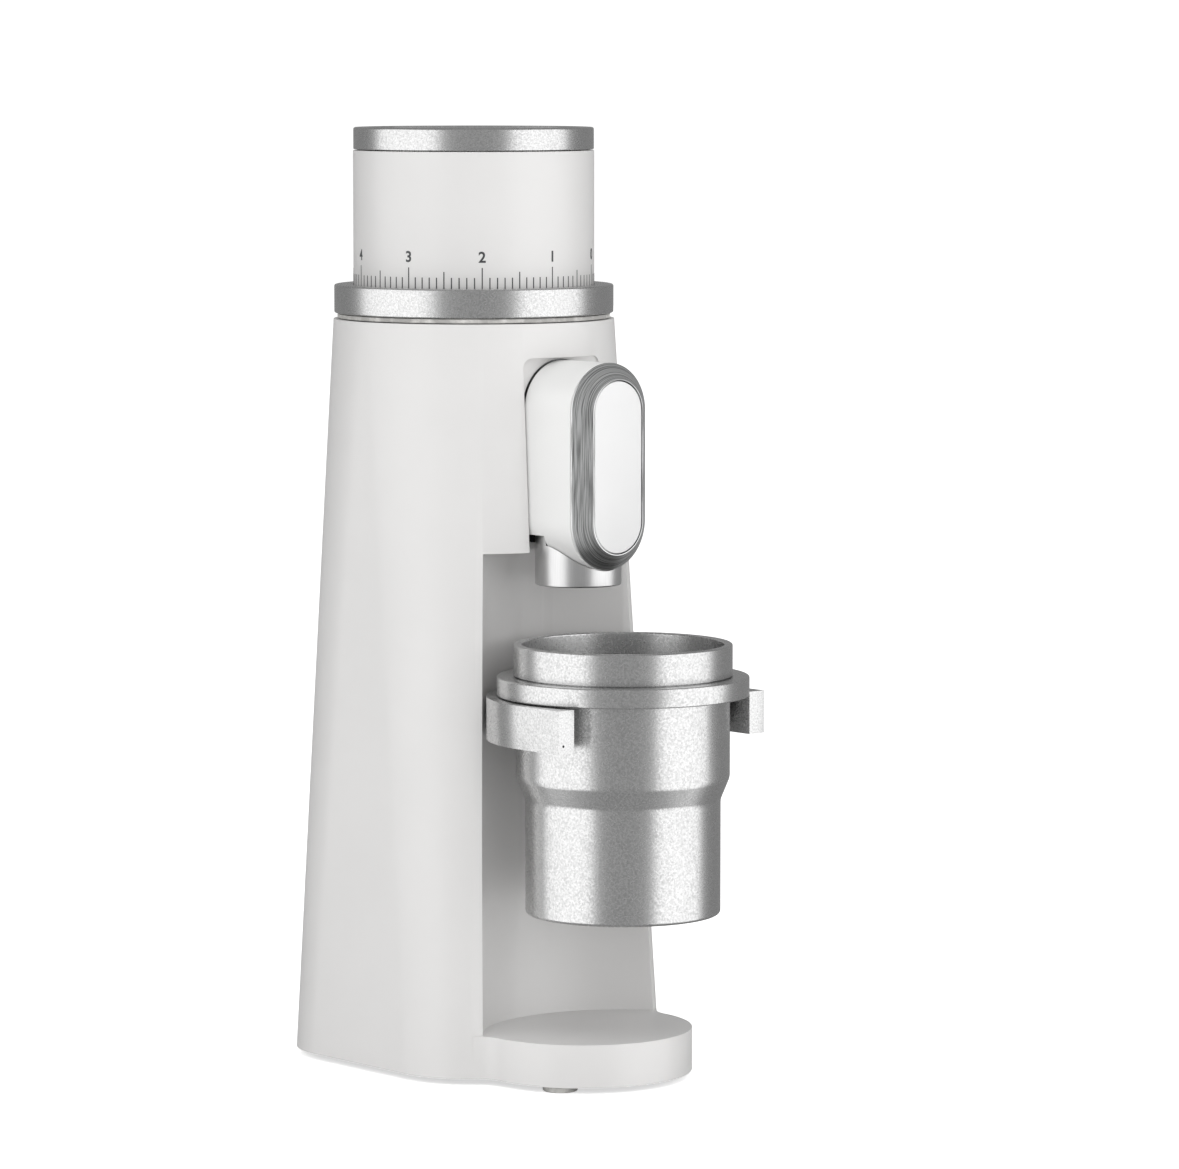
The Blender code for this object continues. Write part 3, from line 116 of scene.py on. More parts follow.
class GrinderSizes(bpy.types.PropertyGroup):
    """Sizes of the details that the packed parts leave to the looks."""

    wall: length_setting("Wall", "Thickness of the body's wall", 2.5 * MM)
    foot_lift: length_setting("Foot lift", "Underside of the body above the floor", 2.0 * MM)
    base_half_x: length_setting("Base half width", "Half of the body's width at the foot", 49.2 * MM)
    base_half_y: length_setting("Base half depth", "Half of the body's depth at the foot", 49.9 * MM)
    base_back_shift: length_setting("Base shift", "Foot's middle forward of the burr axis", 1.1 * MM)
    base_corner: length_setting("Base corner", "Corner radius of the body at the foot", 27.5 * MM)
    top_radius: length_setting("Top radius", "Radius of the body's round top", 44.8 * MM)
    niche_radius: length_setting("Niche radius", "Radius of the niche wall about the cup", 44.0 * MM)
    disc_y: length_setting("Disc reach", "Foot disc's centre forward of the burr axis", 53.1 * MM)
    disc_radius: length_setting("Disc radius", "Radius of the foot disc", 34.4 * MM)
    foot_fillet: length_setting("Foot fillet", "Radius of the fillets beside the disc", 11.0 * MM)
    edge: length_setting("Edge", "Softness of the painted edges", 0.5 * MM)
    mark_proud: length_setting("Mark height", "Thickness of the dial's printed marks", 0.05 * MM)


class GrinderColours(bpy.types.PropertyGroup):
    """Colours of the finishes, as sRGB hex values."""

    paint: colour_setting("Paint", "White body paint", "DDDCDB")
    lever_paint: colour_setting("Lever paint", "White paint on the lever", "EAEAE9")
    plate: colour_setting("Plate", "White lever plate", "E6E6E6")
    aluminium: colour_setting("Aluminium", "Bead-blasted anodised aluminium", "D2D2D2")
    gunmetal: colour_setting("Gunmetal", "Brushed ring round the lever's plate", "E2E3E3")
    marks: colour_setting("Marks", "Printed dial marks", "3C3D3F")
    silicone: colour_setting("Silicone", "Pads, gaskets and seals", "B4B3B0")
    plastic: colour_setting("Plastic", "Black moulded parts", "1E1F21")
    floor: colour_setting("Floor", "Studio floor", "FBFBFB")


def sizes():
    return bpy.context.scene.grinder_sizes


def colours():
    return bpy.context.scene.grinder_colours


# ------------------------------------------------------------ node helpers

def linear(hex_colour):
    """An sRGB hex colour as linear RGBA."""
    channels = [int(hex_colour[i:i + 2], 16) / 255 for i in (0, 2, 4)]
    return (*[c / 12.92 if c <= 0.04045 else ((c + 0.055) / 1.055) ** 2.4 for c in channels], 1.0)


def node(tree, kind, settings=None, links=None):
    """Add a shader node, set its properties and sockets, and link its sockets to other outputs."""
    made = tree.nodes.new(kind)
    for key, value in (settings or {}).items():
        if isinstance(key, str) and hasattr(made, key):
            setattr(made, key, value)
        else:
            made.inputs[key].default_value = value
    for key, output in (links or {}).items():
        tree.links.new(output, made.inputs[key])
    return made


def blank_material(name):
    """A material with only an output and a Principled shader, and its object coordinates."""
    mat = bpy.data.materials.new(name)
    mat.use_nodes = True
    tree = mat.node_tree
    shader = tree.nodes["Principled BSDF"]
    place = node(tree, "ShaderNodeTexCoord").outputs["Object"]
    return mat, tree, shader, place


def set_sockets(shader, **values):
    for key, value in values.items():
        shader.inputs[key.replace("_", " ")].default_value = value


def ramp_between(tree, factor, low, high, low_at=0.0, high_at=1.0):
    """A two-stop colour ramp."""
    made = node(tree, "ShaderNodeValToRGB", links={"Fac": factor})
    made.color_ramp.elements[0].position = low_at
    made.color_ramp.elements[0].color = low
    made.color_ramp.elements[1].position = high_at
    made.color_ramp.elements[1].color = high
    return made.outputs["Color"]


def grey(value):
    return (value, value, value, 1.0)


def scaled(colour, factor, lift=0.0):
    """A colour made darker or lighter."""
    return tuple(min(c * factor + lift, 1.0) for c in colour[:3]) + (1.0,)


def per_metre(size_mm):
    """A noise scale whose features are about this many millimetres across."""
    return 1000.0 / size_mm


def follow(tree, shader, pattern, tints, at=(0.0, 1.0), rough=None, rough_at=(0.0, 1.0), bump=None):
    """Let a pattern drive the colour between two tints and, where given, the roughness between two
    values and a bump of a strength and a depth in millimetres."""
    tree.links.new(ramp_between(tree, pattern, *tints, *at), shader.inputs["Base Color"])
    if rough:
        ramp = ramp_between(tree, pattern, grey(rough[0]), grey(rough[1]), *rough_at)
        tree.links.new(ramp, shader.inputs["Roughness"])
    if bump:
        made = node(tree, "ShaderNodeBump", {"Strength": bump[0], "Distance": bump[1] * MM},
                    {"Height": pattern})
        tree.links.new(made.outputs["Normal"], shader.inputs["Normal"])


# ------------------------------------------------------------ finishes

def powder_paint(name, hex_colour, roughness=0.36, grain_mm=0.35):
    """Powder coat on metal: sprayed and baked, so it is matt with an even, very fine orange peel."""
    mat, tree, shader, place = blank_material(name)
    base = linear(hex_colour)
    cloud = node(tree, "ShaderNodeTexNoise", {"Scale": per_metre(30.0), "Detail": 3.0},
                 {"Vector": place}).outputs["Fac"]
    follow(tree, shader, cloud, (scaled(base, 0.975), base), (0.3, 0.7))
    peel = node(tree, "ShaderNodeTexNoise", {"Scale": per_metre(grain_mm), "Detail": 2.0},
                {"Vector": place}).outputs["Fac"]
    rough = ramp_between(tree, peel, grey(roughness - 0.04), grey(roughness + 0.05))
    tree.links.new(rough, shader.inputs["Roughness"])
    bump = node(tree, "ShaderNodeBump", {"Strength": 0.10, "Distance": 0.02 * MM}, {"Height": peel})
    tree.links.new(bump.outputs["Normal"], shader.inputs["Normal"])
    set_sockets(shader, IOR=1.5, Coat_Weight=0.4, Coat_Roughness=0.34)
    return mat


def blasted_aluminium(name, hex_colour, roughness=0.27, grit_mm=0.55):
    """Bead-blasted, clear anodised aluminium: a satin metal with a sparkling grain.
    The grit is drawn at about three times its real size, so that the sparkle shows."""
    mat, tree, shader, place = blank_material(name)
    base = linear(hex_colour)
    grit = node(tree, "ShaderNodeTexNoise",
                {"Scale": per_metre(grit_mm), "Detail": 3.0, "Roughness": 0.7}, {"Vector": place})
    follow(tree, shader, grit.outputs["Fac"], (scaled(base, 0.7), base), (0.34, 0.6),
           (roughness + 0.08, roughness - 0.05), (0.3, 0.7), (0.35, 0.04))
    set_sockets(shader, Metallic=1.0)
    return mat


def brushed_metal(name, hex_colour, roughness=0.32, line_mm=0.12, run_axis=2, contrast=0.7):
    """Metal brushed along one axis with a fine abrasive belt: long scratches along the stroke."""
    mat, tree, shader, place = blank_material(name)
    base = linear(hex_colour)
    stretch = [per_metre(line_mm)] * 3
    stretch[run_axis] = per_metre(line_mm * 60)
    mapped = node(tree, "ShaderNodeMapping", {"Scale": stretch}, {"Vector": place})
    lines = node(tree, "ShaderNodeTexNoise", {"Scale": 1.0, "Detail": 2.0},
                 {"Vector": mapped.outputs["Vector"]})
    follow(tree, shader, lines.outputs["Fac"], (scaled(base, contrast), base), (0.35, 0.65),
           (roughness + 0.06, roughness - 0.04), bump=(0.25, 0.02))
    set_sockets(shader, Metallic=1.0)
    return mat


def track_brushed_metal(name, hex_colour, low_z, high_z, roughness=0.44, line_mm=0.2):
    """Metal brushed by a wheel that ran round the lever: fine lines that follow its round ends.
    The lines are drawn about twice as coarse as real ones, so that they show."""
    mat, tree, shader, place = blank_material(name)
    base = linear(hex_colour)
    split = node(tree, "ShaderNodeSeparateXYZ", links={"Vector": place})
    spine = node(tree, "ShaderNodeClamp", {"Min": low_z, "Max": high_z}, {"Value": split.outputs["Z"]})
    rise = node(tree, "ShaderNodeMath", {"operation": "SUBTRACT"},
                {0: split.outputs["Z"], 1: spine.outputs[0]})
    across = node(tree, "ShaderNodeCombineXYZ", links={"X": split.outputs["X"], "Z": rise.outputs[0]})
    reach = node(tree, "ShaderNodeVectorMath", {"operation": "LENGTH"}, {0: across.outputs[0]})
    track = node(tree, "ShaderNodeCombineXYZ", links={"X": reach.outputs["Value"]})
    fine = node(tree, "ShaderNodeMapping", {"Scale": (per_metre(line_mm), 1, 1)},
                {"Vector": track.outputs[0]})
    along = node(tree, "ShaderNodeMapping", {"Scale": [per_metre(12.0)] * 3}, {"Vector": place})
    where = node(tree, "ShaderNodeVectorMath", {"operation": "ADD"},
                 {0: fine.outputs[0], 1: along.outputs[0]})
    lines = node(tree, "ShaderNodeTexNoise", {"Scale": 1.0, "Detail": 3.0},
                 {"Vector": where.outputs[0]})
    follow(tree, shader, lines.outputs["Fac"], (scaled(base, 0.35), base), (0.36, 0.58),
           bump=(0.3, 0.03))
    set_sockets(shader, Metallic=1.0, Roughness=roughness)
    return mat


def moulded_plastic(name, hex_colour, roughness=0.5, grain_mm=0.6):
    """Moulded ABS with a spark-eroded grain, which breaks its highlights up."""
    mat, tree, shader, place = blank_material(name)
    base = linear(hex_colour)
    grain = node(tree, "ShaderNodeTexVoronoi", {"Scale": per_metre(grain_mm)}, {"Vector": place})
    follow(tree, shader, grain.outputs["Distance"], (base, scaled(base, 1.25)),
           rough=(roughness - 0.05, roughness + 0.08), bump=(0.25, 0.03))
    set_sockets(shader, IOR=1.53)
    return mat


def moulded_silicone(name, hex_colour):
    """Moulded silicone rubber: dull, with a faint bloom that lightens it in patches."""
    mat, tree, shader, place = blank_material(name)
    base = linear(hex_colour)
    bloom = node(tree, "ShaderNodeTexNoise", {"Scale": per_metre(4.0), "Detail": 5.0},
                 {"Vector": place})
    follow(tree, shader, bloom.outputs["Fac"], (base, scaled(base, 1.8, 0.01)), (0.45, 0.75))
    set_sockets(shader, Roughness=0.82, IOR=1.52)
    return mat


def printed_ink(name, hex_colour):
    """Pad-printed ink: thin and matt, with slightly uneven cover."""
    mat, tree, shader, place = blank_material(name)
    base = linear(hex_colour)
    cover = node(tree, "ShaderNodeTexNoise", {"Scale": per_metre(1.2), "Detail": 3.0},
                 {"Vector": place})
    follow(tree, shader, cover.outputs["Fac"], (base, scaled(base, 1.35)), (0.4, 0.8))
    set_sockets(shader, Roughness=0.6, IOR=1.5)
    return mat


def cast_metal(name, hex_colour, roughness=0.5):
    """Die-cast alloy, as cast: slightly mottled and pitted."""
    mat, tree, shader, place = blank_material(name)
    base = linear(hex_colour)
    mottle = node(tree, "ShaderNodeTexNoise", {"Scale": per_metre(1.5), "Detail": 6.0},
                  {"Vector": place})
    follow(tree, shader, mottle.outputs["Fac"], (scaled(base, 0.7), base), (0.3, 0.7),
           bump=(0.4, 0.05))
    set_sockets(shader, Metallic=1.0, Roughness=roughness)
    return mat


def solder_mask(name):
    """Green solder mask on glass-epoxy board: the copper tracks show through as lighter runs."""
    mat, tree, shader, place = blank_material(name)
    tracks = node(tree, "ShaderNodeTexBrick",
                  {"Scale": per_metre(20.0), "Mortar Size": 0.03, "Color1": linear("0E4A2A"),
                   "Color2": linear("125531"), "Mortar": linear("2C8A55")}, {"Vector": place})
    tree.links.new(tracks.outputs["Color"], shader.inputs["Base Color"])
    set_sockets(shader, Roughness=0.35, IOR=1.55)
    return mat


def make_finishes():
    """Every finish by name; made once."""
    tint = colours()
    return {
        "powder_paint": powder_paint("white_powder_paint", tint.paint),
        "lever_paint": powder_paint("white_lever_paint", tint.lever_paint),
        "plate_paint": powder_paint("satin_plate_paint", tint.plate, roughness=0.35),
        "blasted_aluminium": blasted_aluminium("bead_blasted_aluminium", tint.aluminium),
        "cup_aluminium": blasted_aluminium("coarse_blasted_aluminium", tint.aluminium, 0.28, 0.7),
        "satin_aluminium": brushed_metal("satin_spout_aluminium", tint.aluminium, 0.33,
                                         contrast=0.92),
        "gunmetal": track_brushed_metal("brushed_gunmetal", tint.gunmetal, *lever_spine()),
        "ink": printed_ink("grey_dial_ink", tint.marks),
        "silicone": moulded_silicone("grey_silicone", tint.silicone),
        "black_plastic": moulded_plastic("black_grained_abs", tint.plastic),
        "cast_aluminium": cast_metal("die_cast_aluminium", "B9BABC"),
        "burr_steel": brushed_metal("ground_tool_steel", "C4C6C9", roughness=0.25, run_axis=0),
        "spring_steel": brushed_metal("drawn_spring_wire", "A9ABAE", roughness=0.3),
        "zinc_screw": cast_metal("zinc_plated_steel", "C9CACC", roughness=0.32),
        "steel_can": brushed_metal("rolled_motor_steel", "8F9194", roughness=0.4),
        "ferrite": cast_metal("sintered_ferrite", "3A3A3D", roughness=0.75),
        "copper": brushed_metal("turned_copper", "C98A66", roughness=0.3),
        "circuit_board": solder_mask("green_solder_mask"),
    }


FINISHES = {}
SLOT_FINISH = {
    "white_shell": "powder_paint", "satin_aluminium": "blasted_aluminium", "gunmetal": "gunmetal",
    "cast_aluminium": "cast_aluminium", "burr_steel": "burr_steel", "spring_steel": "spring_steel",
    "zinc_screw": "zinc_screw", "steel_can": "steel_can", "black_plastic": "black_plastic",
    "seal_silicone": "silicone", "ferrite": "ferrite", "copper": "copper",
    "circuit_board": "circuit_board",
}


# ------------------------------------------------------------ modelling helpers

def nothing_selected():
    if bpy.context.object and bpy.context.object.mode == "EDIT":
        bpy.ops.object.mode_set(mode="OBJECT")
    bpy.ops.object.select_all(action="DESELECT")


def only(obj):
    """Select one object and make it active."""
    nothing_selected()
    bpy.context.view_layer.objects.active = obj
    obj.select_set(True)


def settled(name):
    """Name a new primitive and put its place into its mesh."""
    bpy.ops.object.transform_apply(location=True, rotation=True, scale=True)
    obj = bpy.context.object
    obj.name = obj.data.name = name
    return obj


def arc(centre, radius, start, end, steps):
    """Points on an arc; the angles are in degrees."""
    angles = [math.radians(start + (end - start) * i / steps) for i in range(steps + 1)]
    return [(centre[0] + radius * math.cos(a), centre[1] + radius * math.sin(a)) for a in angles]


def softened(corners, steps=4, closed=True):
    """Round a profile's corners. Each corner is (across, up, radius); radius 0 leaves it sharp."""
    points = []
    count = len(corners)
    for i, (across, up, radius) in enumerate(corners):
        here = Vector((across, up))
        ends = not closed and i in (0, count - 1)
        if radius <= 0 or ends:
            points.append((across, up))
            continue
        before = Vector(corners[i - 1][:2]) - here
        after = Vector(corners[(i + 1) % count][:2]) - here
        half = before.angle(after) / 2
        reach = radius / math.tan(half)
        inward = (before.normalized() + after.normalized()).normalized()
        centre = here + inward * (radius / math.sin(half))
        first = here + before.normalized() * reach - centre
        last = here + after.normalized() * reach - centre
        sweep = first.angle_signed(last)
        for k in range(steps + 1):
            turn = -sweep * k / steps
            x = first.x * math.cos(turn) - first.y * math.sin(turn)
            y = first.x * math.sin(turn) + first.y * math.cos(turn)
            points.append((centre.x + x, centre.y + y))
    return points


def ring_stack(name, rings, closed=False):
    """Model a piece ring by ring: a circle primitive is extruded once for each ring, and each ring
    is put in place. A closed stack joins its last ring to its first; otherwise both ends are
    filled."""
    nothing_selected()
    count = len(rings[0])
    bpy.ops.mesh.primitive_circle_add(vertices=count, radius=1.0)
    obj = bpy.context.object
    obj.name = obj.data.name = name
    bpy.ops.object.mode_set(mode="EDIT")
    bpy.ops.mesh.select_all(action="SELECT")
    work = bmesh.from_edit_mesh(obj.data)
    work.verts.ensure_lookup_table()
    order = list(range(count))
    for index, point in zip(order, rings[0]):
        work.verts[index].co = point
    for ring in rings[1:]:
        bmesh.update_edit_mesh(obj.data)
        bpy.ops.mesh.extrude_edges_move()
        work = bmesh.from_edit_mesh(obj.data)
        work.verts.ensure_lookup_table()
        following = []
        for index in order:
            vert = work.verts[index]
            grown = [e.other_vert(vert).index for e in vert.link_edges if e.other_vert(vert).select]
            following.append(grown[0])
        order = following
        for index, point in zip(order, ring):
            work.verts[index].co = point
    bmesh.update_edit_mesh(obj.data)
    close_ends(closed)
    return obj


def turned(name, profile, centre_y, count=128, closed=True):
    """A turned piece: a circle is extruded and resized from point to point of a (radius, height)
    profile. A closed profile's last circle is bridged to its first, and an open one's two end
    circles are filled."""
    nothing_selected()
    radius, height = profile[0]
    bpy.ops.mesh.primitive_circle_add(vertices=count, radius=radius,
                                      location=(0, centre_y, height))
    obj = settled(name)
    bpy.ops.object.mode_set(mode="EDIT")
    bpy.ops.mesh.select_mode(type="EDGE")
    bpy.ops.mesh.select_all(action="SELECT")
    for after, up in profile[1:]:
        bpy.ops.mesh.extrude_region_move(TRANSFORM_OT_translate={"value": (0, 0, up - height)})
        bpy.ops.transform.resize(value=(after / radius, after / radius, 1),
                                 center_override=(0, centre_y, up))
        radius, height = after, up
    close_ends(closed)
    return obj


def close_ends(closed):
    """In edit mode: bridge or fill a shape's two open loops, point its faces out, and leave."""
    bpy.ops.mesh.select_all(action="DESELECT")
    bpy.ops.mesh.select_mode(type="EDGE")
    bpy.ops.mesh.select_non_manifold()
    if closed:
        bpy.ops.mesh.bridge_edge_loops()
    else:
        bpy.ops.mesh.edge_face_add()
    bpy.ops.mesh.select_all(action="SELECT")
    bpy.ops.mesh.normals_make_consistent(inside=False)
    bpy.ops.mesh.select_mode(type="VERT")
    bpy.ops.object.mode_set(mode="OBJECT")


def boolean(obj, tool, operation="DIFFERENCE"):
    """Cut or join, apply it, and remove the tool."""
    only(obj)
    modifier = obj.modifiers.new("Boolean", "BOOLEAN")
    modifier.operation = operation
    modifier.solver = "EXACT"
    modifier.object = tool
    bpy.ops.object.modifier_apply(modifier=modifier.name)
    bpy.data.objects.remove(tool, do_unlink=True)
    return obj


def bevelled(obj, width, segments=3, angle=35.0):
    """Round a piece's sharp edges with real geometry."""
    only(obj)
    modifier = obj.modifiers.new("Bevel", "BEVEL")
    modifier.width = width
    modifier.segments = segments
    modifier.limit_method = "ANGLE"
    modifier.angle_limit = math.radians(angle)
    modifier.use_clamp_overlap = True
    bpy.ops.object.modifier_apply(modifier=modifier.name)
    return obj


def smooth(obj, angle=32.0):
    only(obj)
    bpy.ops.object.shade_smooth_by_angle(angle=math.radians(angle))
    return obj


def block(name, low, high):
    """A box primitive between two corners, with its place in its mesh."""
    nothing_selected()
    centre = [(a + b) / 2 for a, b in zip(low, high)]
    bpy.ops.mesh.primitive_cube_add(size=1.0, location=centre,
                                    scale=[b - a for a, b in zip(low, high)])
    return settled(name)


def bar(name, start, end, radius, count=32):
    """A round bar primitive between two points, with its place in its mesh."""
    nothing_selected()
    run = Vector(end) - Vector(start)
    bpy.ops.mesh.primitive_cylinder_add(vertices=count, radius=radius, depth=run.length,
                                        location=(Vector(start) + Vector(end)) / 2,
                                        rotation=run.to_track_quat("Z", "Y").to_euler())
    return settled(name)


def bar_along_y(name, centre, back, radius):
    """A small round bar through a place, along the grinder's depth."""
    return bar(name, (centre.x, centre.y + back[0], centre.z), (centre.x, centre.y + back[1], centre.z),
               radius, 24)


def hollowed(obj, name, low, high, rim, soft=0.0):
    """Cut a box out of a block's outer side, leaving a rim and a floor of the rim's thickness."""
    well = block(name, [a + rim for a in low], (high.x - rim, high.y + rim, high.z - rim))
    if soft:
        bevelled(well, soft, 4, 60)
    return boolean(obj, well)


def finished(obj, body, slot, finish, *nodes):
    """Give a piece its finish, put it on its body, and let it stand for its CAD nodes."""
    obj.data.materials.clear()
    obj.data.materials.append(FINISHES[finish])
    smooth(obj)
    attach(obj, body)
    if nodes:
        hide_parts(*nodes)
    return obj


# ------------------------------------------------------------ outlines

def body_ring(height, inset=0.0, steps=40):
    """The body's outline at a height: a rounded square at the foot, a circle at the top."""
    s = sizes()
    top_z = span("body_shell")[1].z
    share = (height - s.foot_lift) / (top_z - s.foot_lift)
    half_x = s.base_half_x + (s.top_radius - s.base_half_x) * share
    half_y = s.base_half_y + (s.top_radius - s.base_half_y) * share
    corner = s.base_corner + (s.top_radius - s.base_corner) * share
    middle_y = BURR_Y - s.base_back_shift * (1 - share)
    hair = 0.02 * MM
    ring = []
    for quarter, (sx, sy) in enumerate(((1, 1), (-1, 1), (-1, -1), (1, -1))):
        centre = (sx * (max(half_x - corner, 0) + hair),
                  middle_y + sy * (max(half_y - corner, 0) + hair))
        ring += [(x, y, height) for x, y in
                 arc(centre, corner - inset, quarter * 90, quarter * 90 + 90, steps)]
    return ring


def body_solid(name, low, high, inset=0.0):
    return ring_stack(name, [body_ring(low, inset), body_ring(high, inset)])


def foot_outline(inset=0.0):
    """Plan of the foot disc with the hollow fillets that run it into the body's front corners."""
    s = sizes()
    corner = Vector((s.base_half_x - s.base_corner,
                     BURR_Y - s.base_back_shift - s.base_half_y + s.base_corner))
    disc = Vector((0.0, BURR_Y - s.disc_y))
    to_corner = s.base_corner + s.foot_fillet - 0.3 * MM
    to_disc = s.disc_radius + s.foot_fillet
    apart = corner - disc
    along = (to_disc ** 2 - to_corner ** 2 + apart.length ** 2) / (2 * apart.length)
    rise = math.sqrt(to_disc ** 2 - along ** 2)
    across = Vector((apart.y, -apart.x)).normalized()
    fillet = disc + apart.normalized() * along + across * rise
    to_disc_angle = math.degrees(math.atan2(disc.y - fillet.y, disc.x - fillet.x)) % 360
    to_corner_angle = math.degrees(math.atan2(corner.y - fillet.y, corner.x - fillet.x)) % 360
    start = math.degrees(math.atan2(fillet.y - disc.y, fillet.x - disc.x))
    right = arc(fillet, s.foot_fillet + inset, to_corner_angle, to_disc_angle, 20)
    front = arc(disc, s.disc_radius - inset, start, -180 - start, 120)
    left = [(-x, y) for x, y in reversed(right)]
    return right + front[1:-1] + left + [(-corner.x, corner.y), (corner.x, corner.y)]


def slab(name, outline, low, high):
    """A flat outline given thickness."""
    return ring_stack(name, [[(x, y, height) for x, y in outline] for height in (low, high)])


def stadium_ring(radius, y, steps=48):
    """The lever's outline at one depth: two round ends and straight sides."""
    low_z, high_z = lever_spine()
    points = arc((0, high_z), radius, 0, 180, steps) + arc((0, low_z), radius, 180, 360, steps)
    return [(x, y, z) for x, z in points]


# ------------------------------------------------------------ pieces

def model_body():
    s = sizes()
    low, high = span("body_shell")
    spout_high = span("spout_tube")[1]
    housing_low, housing_high = span("lever_housing")
    ledge = 2.5 * MM
    hair = 0.05 * MM
    shell = body_solid("body_shell_fine", low.z, high.z)
    niche = bar("cut_niche", (0, CUP_Y, DISC_TOP), (0, CUP_Y, NICHE_TOP), s.niche_radius, 256)
    foot = slab("add_foot", foot_outline(), low.z, DISC_TOP)
    inside = body_solid("cut_inside", low.z - s.wall, high.z - ledge, s.wall)
    keep = bar("keep_niche_wall", (0, CUP_Y, DISC_TOP - s.wall), (0, CUP_Y, NICHE_TOP + s.wall),
               s.niche_radius + s.wall, 256)
    under = slab("cut_foot_inside", foot_outline(s.wall), -s.wall, DISC_TOP - s.wall - hair)
    boolean(inside, keep)
    boolean(inside, under, "UNION")
    boolean(shell, niche)
    boolean(shell, foot, "UNION")
    boolean(shell, inside)
    neck = bar("cut_neck", (0, BURR_Y, high.z - 2 * ledge), (0, BURR_Y, high.z + ledge),
               NECK_BORE, 192)
    boolean(shell, neck)
    half = (housing_high.x - housing_low.x) / 2 + 0.5 * MM
    top = housing_high.z + 0.9 * MM
    corner = 3.0 * MM
    outline = [(-half, NICHE_TOP - s.wall), (half, NICHE_TOP - s.wall)]
    outline += arc((half - corner, top - corner), corner, 0, 90, 10)
    outline += arc((corner - half, top - corner), corner, 90, 180, 10)
    slot = ring_stack("cut_slot", [[(x, y, z) for x, z in outline]
                                   for y in (BURR_Y - s.base_half_y - 4 * MM, spout_high.y + 0.6 * MM)])
    boolean(shell, slot)
    web_y = housing_high.y + 0.6 * MM
    web_thick = 1.2 * MM
    grow = 1.0 + GAP / half
    web = ring_stack("add_slot_web", [
        [(x * grow, y, z + GAP if z > NICHE_TOP else NICHE_TOP + hair) for x, z in outline]
        for y in (web_y, web_y + web_thick)])
    lever_room = ring_stack("cut_slot_web", [
        [(x, y, z - (4 * MM if z < NICHE_TOP else 0))
         for x, y, z in stadium_ring(radius_of("lever_housing") + GAP, y)]
        for y in (web_y - 3 * MM, web_y + 3 * MM)])
    boolean(web, lever_room)
    boolean(shell, web, "UNION")
    for name in ("power_inlet", "switch_frame"):
        inner, outer = span(name)
        boolean(shell, block("cut_" + name, (inner.x - GAP, inner.y, inner.z - GAP),
                             (outer.x + GAP, outer.y + 5 * MM, outer.z + GAP)))
    for name in ("fork_screw_left", "fork_screw_right"):
        boolean(shell, bar_along_y("cut_" + name, middle(name), (-8 * MM, 8 * MM), SCREW_BORE))
    for name in ("front_left", "front_right", "rear_left", "rear_right"):
        centre = middle("base_screw_" + name)
        top_z = 20 * MM if name.startswith("rear") else DISC_TOP - s.wall / 2
        boss = bar("boss_" + name, (centre.x, centre.y, low.z + 2.8 * MM),
                   (centre.x, centre.y, top_z), 4.5 * MM, 32)
        pilot = bar("pilot_" + name, (centre.x, centre.y, 0),
                    (centre.x, centre.y, top_z - s.wall), SCREW_BORE, 24)
        boolean(shell, boss, "UNION")
        boolean(shell, pilot)
    tidy_edges(shell)
    bevelled(shell, s.edge, 3)
    return finished(shell, "base", "white_shell", "powder_paint", "body_shell")


def tidy_edges(obj):
    """Merge the hair's-breadth edges that joining leaves."""
    only(obj)
    bpy.ops.object.mode_set(mode="EDIT")
    bpy.ops.mesh.select_all(action="SELECT")
    bpy.ops.mesh.remove_doubles(threshold=0.05 * MM)
    bpy.ops.mesh.dissolve_limited(angle_limit=math.radians(0.2))
    bpy.ops.object.mode_set(mode="OBJECT")


def model_feet():
    for place in ("front_left", "front_right", "rear_left", "rear_right"):
        name = "foot_pad_" + place
        low, high = span(name)
        radius = (high.x - low.x) / 2
        profile = softened([(radius * 0.5, low.z + 0.3 * MM, 0), (radius * 0.75, low.z, 0.3 * MM),
                            (radius, low.z, 0.5 * MM), (radius, high.z, 0.1 * MM),
                            (radius * 0.5, high.z, 0)])
        pad = turned("pad_" + place, profile, (low.y + high.y) / 2, 48)
        for vert in pad.data.vertices:
            vert.co.x += (low.x + high.x) / 2
        finished(pad, "base", "seal_silicone", "silicone", name)


def model_collar():
    low, high = span("collar_ring")
    radius = radius_of("collar_ring")
    sleeve = radius_of("dial_sleeve") + GAP
    lip = low.z + 4.6 * MM
    profile = softened([(radius, high.z, 0.6 * MM), (radius, low.z, 0.5 * MM),
                        (NECK, low.z, 0.1 * MM), (NECK, lip, 0.1 * MM), (sleeve, lip, 0.1 * MM),
                        (sleeve, high.z, 0.3 * MM)])
    finished(turned("collar_ring_fine", profile, BURR_Y, 192), "base", "satin_aluminium",
             "blasted_aluminium", "collar_ring")
    low, high = span("collar_gasket")
    radius = radius_of("collar_gasket")
    profile = softened([(radius, high.z, 0.2 * MM), (radius, low.z, 0.2 * MM),
                        (NECK, low.z, 0.1 * MM), (NECK, high.z, 0.1 * MM)])
    finished(turned("collar_gasket_fine", profile, BURR_Y, 160), "base", "seal_silicone",
             "silicone", "collar_gasket")


def on_sleeve(radius, turn, out=0.0):
    """A place on the dial's side; turn is from the front towards the left, in radians."""
    return (-(radius + out) * math.sin(turn), BURR_Y - (radius + out) * math.cos(turn))


def wrap_on_sleeve(obj, turn):
    """Bend a flat piece, drawn in x and z with its depth in y, round the dial's side."""
    radius = radius_of("dial_sleeve")
    for vert in obj.data.vertices:
        x, y = on_sleeve(radius, turn - vert.co.x / radius, -vert.co.y)
        vert.co = (x, y, vert.co.z)


